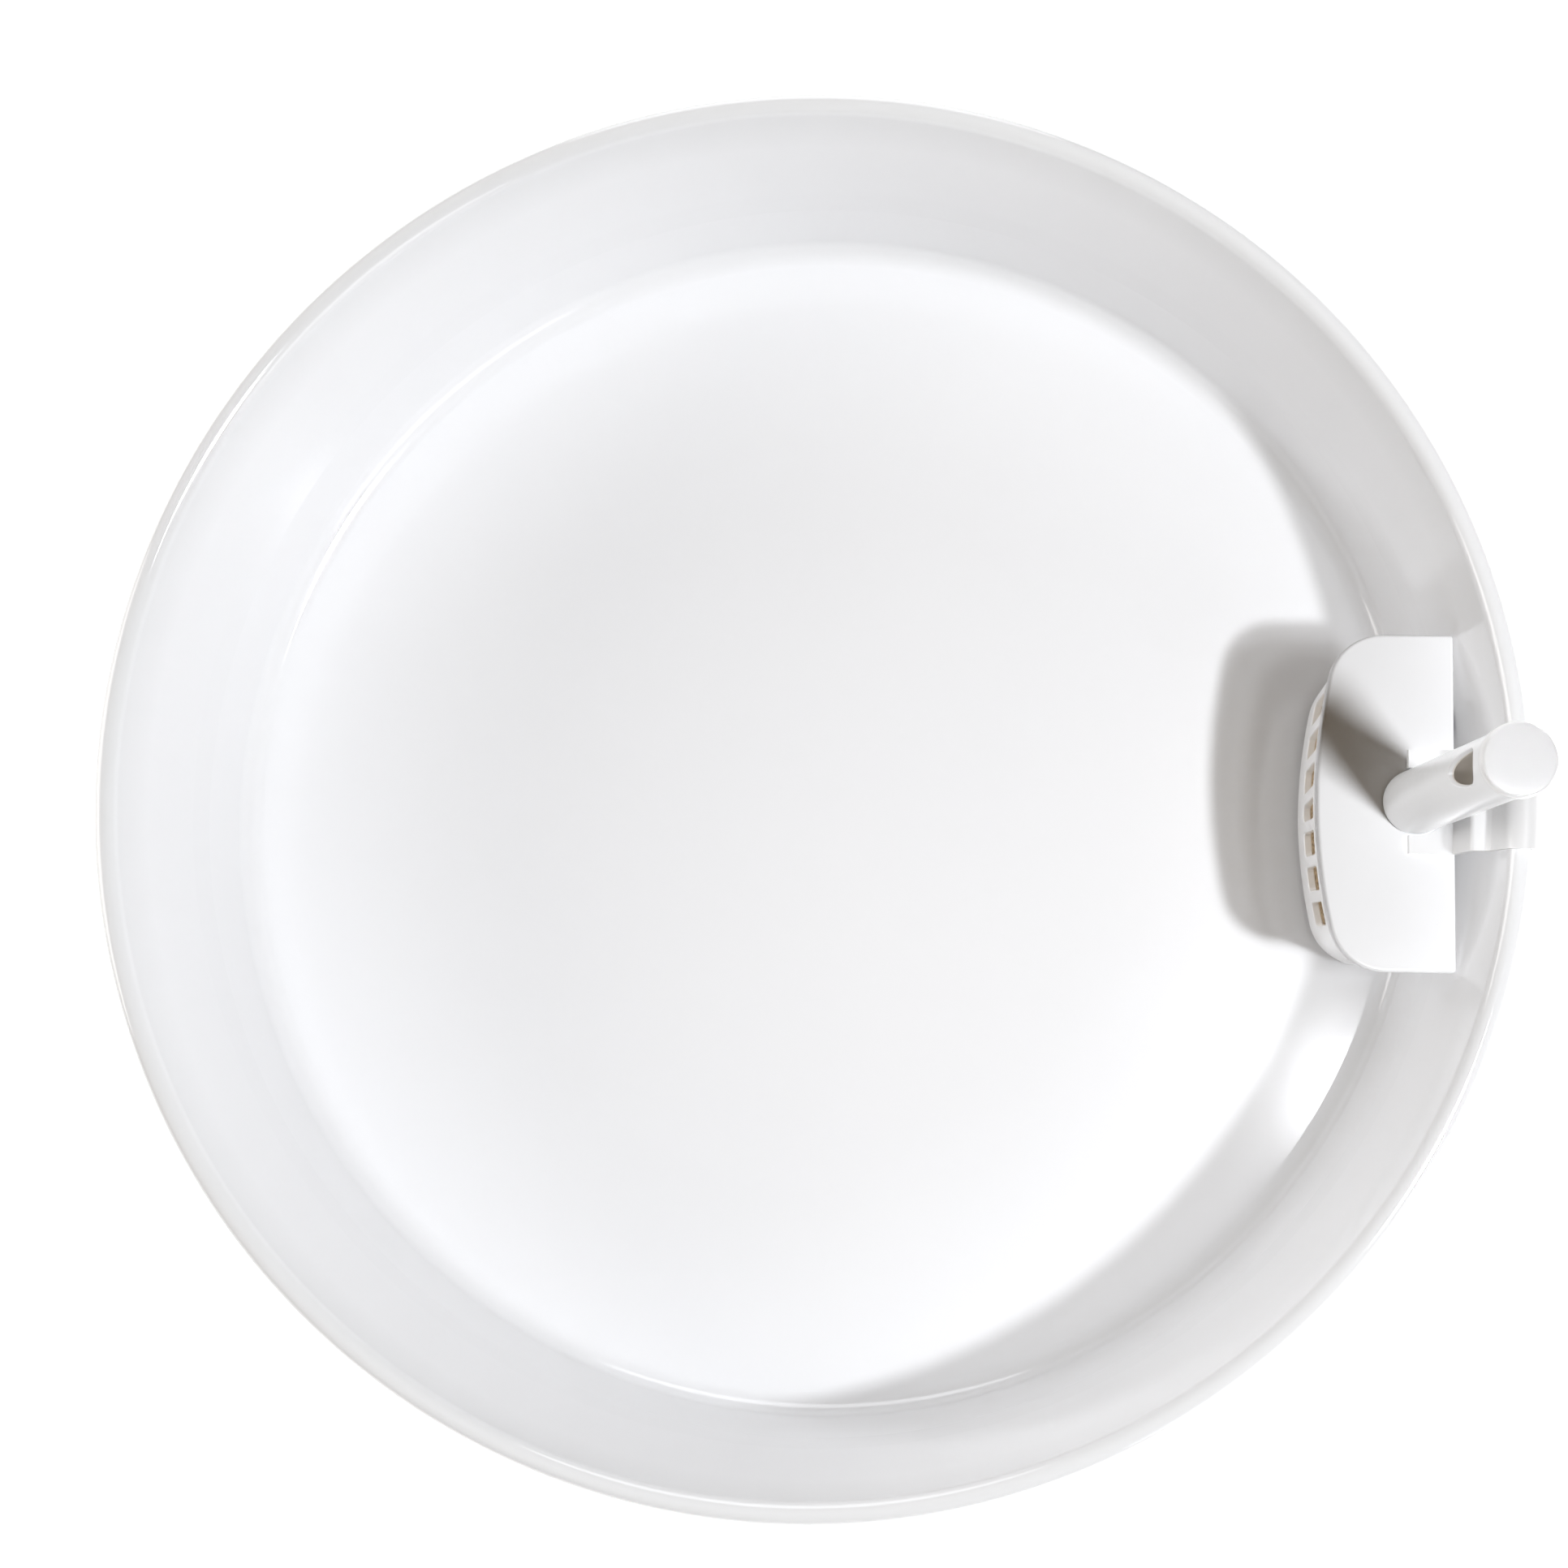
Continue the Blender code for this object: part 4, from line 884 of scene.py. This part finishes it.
def makeCap():
    # A thin disc with a rounded upper edge over a hollow plug.
    radius, low = (capHigh.y - capLow.y) / 2, columnHigh.z + 0.3 * mm
    plug = column["bore"] - 0.3 * mm
    hollow = plug - 1.4 * mm
    turnedPiece("columnCap", [
        (0.0, capHigh.z, 0), (radius * 0.55, capHigh.z, 0), (radius, capHigh.z, 0.8 * mm),
        (radius, low, 0.25 * mm), (plug, low, 0.15 * mm), (plug, capLow.z, 0.3 * mm),
        (hollow, capLow.z, 0.3 * mm), (hollow, low + 0.5 * mm, 0.3 * mm), (0.0, low + 0.5 * mm, 0),
    ], 128, capWhite, "cap", ["column_cap"], (columnX, 0.0), 6)


makeColumn()
makeCap()
print("column and cap made")


def makePad(number):
    # A rubber disc that narrows downwards, with a hollow middle.
    node = f"housing_pad_{number}"
    low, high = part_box(node)
    centre = ((low.x + high.x) / 2, (low.y + high.y) / 2)
    r = (high.x - low.x) / 2
    turnedPiece(f"housingPad{number}", [
        (0.0, high.z, 0), (r, high.z, 0.2 * mm), (r - 0.5 * mm, low.z, 0.3 * mm), (r * 0.5, low.z, 0.1 * mm),
        (r * 0.42, low.z + 0.3 * mm, 0.1 * mm), (0.0, low.z + 0.3 * mm, 0),
    ], 48, rubber, "water_unit", [node], centre, 3)


for number in range(1, 5):
    makePad(number)

keptNodes = {
    "ball_cage": nylon, "retaining_screw": raceSteel, "cord_grommet": rubber, "filter_pad": foam,
    "pump_body": pumpPlastic, "impeller_cover": pumpPlastic, "impeller_shaft": raceSteel,
    "rotor_magnet": ferrite, "impeller": bluePlastic,
}
for node, material in keptNodes.items():
    kept = frame["nodes"][node]
    kept.data.materials.clear()
    kept.data.materials.append(material)
print("pads made, kept nodes finished")


def makeStage():
    # A plain pale floor, lit softly from itself as well so that it stays near white.
    half, glow = 3.0, 0.75
    corners = [(-half, -half, 0), (half, -half, 0), (half, half, 0), (-half, half, 0)]
    mesh = bpy.data.meshes.new("paleFloor")
    mesh.from_pydata(corners, [], [(0, 1, 2, 3)])
    floor = bpy.data.objects.new("paleFloor", mesh)
    bpy.context.scene.collection.objects.link(floor)
    finish = Finish("pale floor", (0.93, 0.93, 0.93), 0.85)
    finish.put("Emission Color", (1.0, 1.0, 1.0, 1.0))
    finish.put("Emission Strength", glow)
    finish.put("Roughness", 0.8 + 0.1 * finish.noise(3.0))
    mesh.materials.append(finish.material)


def chosen(name, wanted):
    # A collection of the wanted meshes, for light linking.
    group = bpy.data.collections.new(name)
    for piece in bpy.data.objects:
        if piece.type == "MESH" and wanted(piece.name):
            group.objects.link(piece)
    return group


def softLight(name, spot, aim, size, watts, colour, lights=None, shades=None):
    # A round area light at a spot in mm above the tray's floor, facing its aim. lights and shades say, by
    # piece name, what it falls on and what casts its shadows; without them it is all of the pieces.
    light = bpy.data.lights.new(name, "AREA")
    light.shape, light.size, light.energy, light.color = "DISK", size, watts, colour
    lamp = bpy.data.objects.new(name, light)
    bpy.context.scene.collection.objects.link(lamp)
    lamp.location = Vector(spot) * mm + Vector((0, 0, floorTop))
    lamp.rotation_euler = (Vector(spot) - Vector(aim)).to_track_quat("Z", "Y").to_euler()
    if lights:
        lamp.light_linking.receiver_collection = chosen(name + "Lights", lights)
    if shades:
        lamp.light_linking.blocker_collection = chosen(name + "Shades", shades)


def only(*names):
    return lambda piece: piece in names


def allBut(*names):
    return lambda piece: piece not in names


def makeLight():
    # The key stands off the rim beside the unit. The deck has a lamp of its own, so that only the column
    # shades it, and so have the cap and the bracket. The low fills reach the tray's walls past the housing.
    middle, aim = (0, 0, 0), Vector((111, 0, 42))
    key = aim + Vector((0.40, -0.182, 1.0)).normalized() * 2400
    steep = aim + Vector((0.30, -0.27, 1.0)).normalized() * 2400
    cool, warm = (0.955, 0.974, 1.0), (1.0, 0.985, 0.965)
    body, pipe = ("deckLid", "pumpHousing", "rimBracket"), ("spoutColumn", "columnCap")
    offLid, offPipe, offBody, offUnit = allBut("deckLid"), allBut(*pipe), allBut(*body), allBut(*body, *pipe)
    softLight("keyLight", key, aim, 0.30, 13.0, cool, offLid, only(*body))
    softLight("nearLight", (466, -210, 900), aim, 0.07, 4.8, cool, allBut("deckLid", "rimBracket", *pipe),
              offPipe)
    softLight("deckLight", steep, aim, 0.38, 50.0, cool, only("deckLid"), only(*pipe))
    softLight("capLight", key, aim, 0.40, 20.0, cool, only("columnCap"))
    softLight("strapLight", key, aim, 0.40, 19.0, cool, only("rimBracket"), only(*pipe))
    softLight("slotLight", (-800, -100, 900), aim, 0.5, 2.6, warm, only("pumpHousing", "filter_pad"))
    softLight("highLight", (405, -112, 1470), (60, -30, 0), 0.20, 3.0, cool, offLid, offPipe)
    softLight("leftFill", (-1300, 100, 470), middle, 0.9, 8.2, warm, offLid, offBody)
    softLight("topFill", (-100, 1300, 470), middle, 0.9, 6.8, cool, offLid, offBody)
    softLight("rightFill", (900, -900, 470), middle, 0.9, 4.8, cool, offLid, offUnit)
    world = bpy.data.worlds.new("studio")
    world.use_nodes = True
    ground = world.node_tree.nodes["Background"]
    ground.inputs["Color"].default_value = (0.072, 0.048, 0.020, 1.0)
    ground.inputs["Strength"].default_value = 1.0
    bpy.context.scene.world = world


def makeCamera():
    # The camera looks down from above the unit's side of the tray. tilt is the angle off straight down,
    # toward its bearing and roll the turn about the line of sight, all in degrees.
    view = {"spot": (30.0 * mm, -43.75 * mm, 422.15 * mm), "tilt": 5.147, "toward": 107.58, "roll": 1.028,
            "lens": 39.78, "shift": (-0.074, 0.0388)}
    data = bpy.data.cameras.new("viewCamera")
    data.lens, data.sensor_width = view["lens"], 36.0
    data.shift_x, data.shift_y = view["shift"]
    data.clip_start, data.clip_end = 0.01, 20.0
    camera = bpy.data.objects.new("viewCamera", data)
    bpy.context.scene.collection.objects.link(camera)
    t, a, r = (math.radians(view[k]) for k in ("tilt", "toward", "roll"))
    ahead = Vector((math.sin(t) * math.cos(a), math.sin(t) * math.sin(a), -math.cos(t)))
    right = ahead.cross(Vector((0, 1, 0))).normalized()
    up = right.cross(ahead)
    right, up = math.cos(r) * right + math.sin(r) * up, math.cos(r) * up - math.sin(r) * right
    turn = Matrix((right, up, -ahead)).transposed().to_4x4()
    camera.matrix_world = Matrix.Translation(Vector(view["spot"]) + Vector((0, 0, floorTop))) @ turn
    bpy.context.scene.camera = camera


makeStage()
makeLight()
makeCamera()
bpy.context.scene.view_settings.view_transform = "Standard"
print("stage, light and camera made")
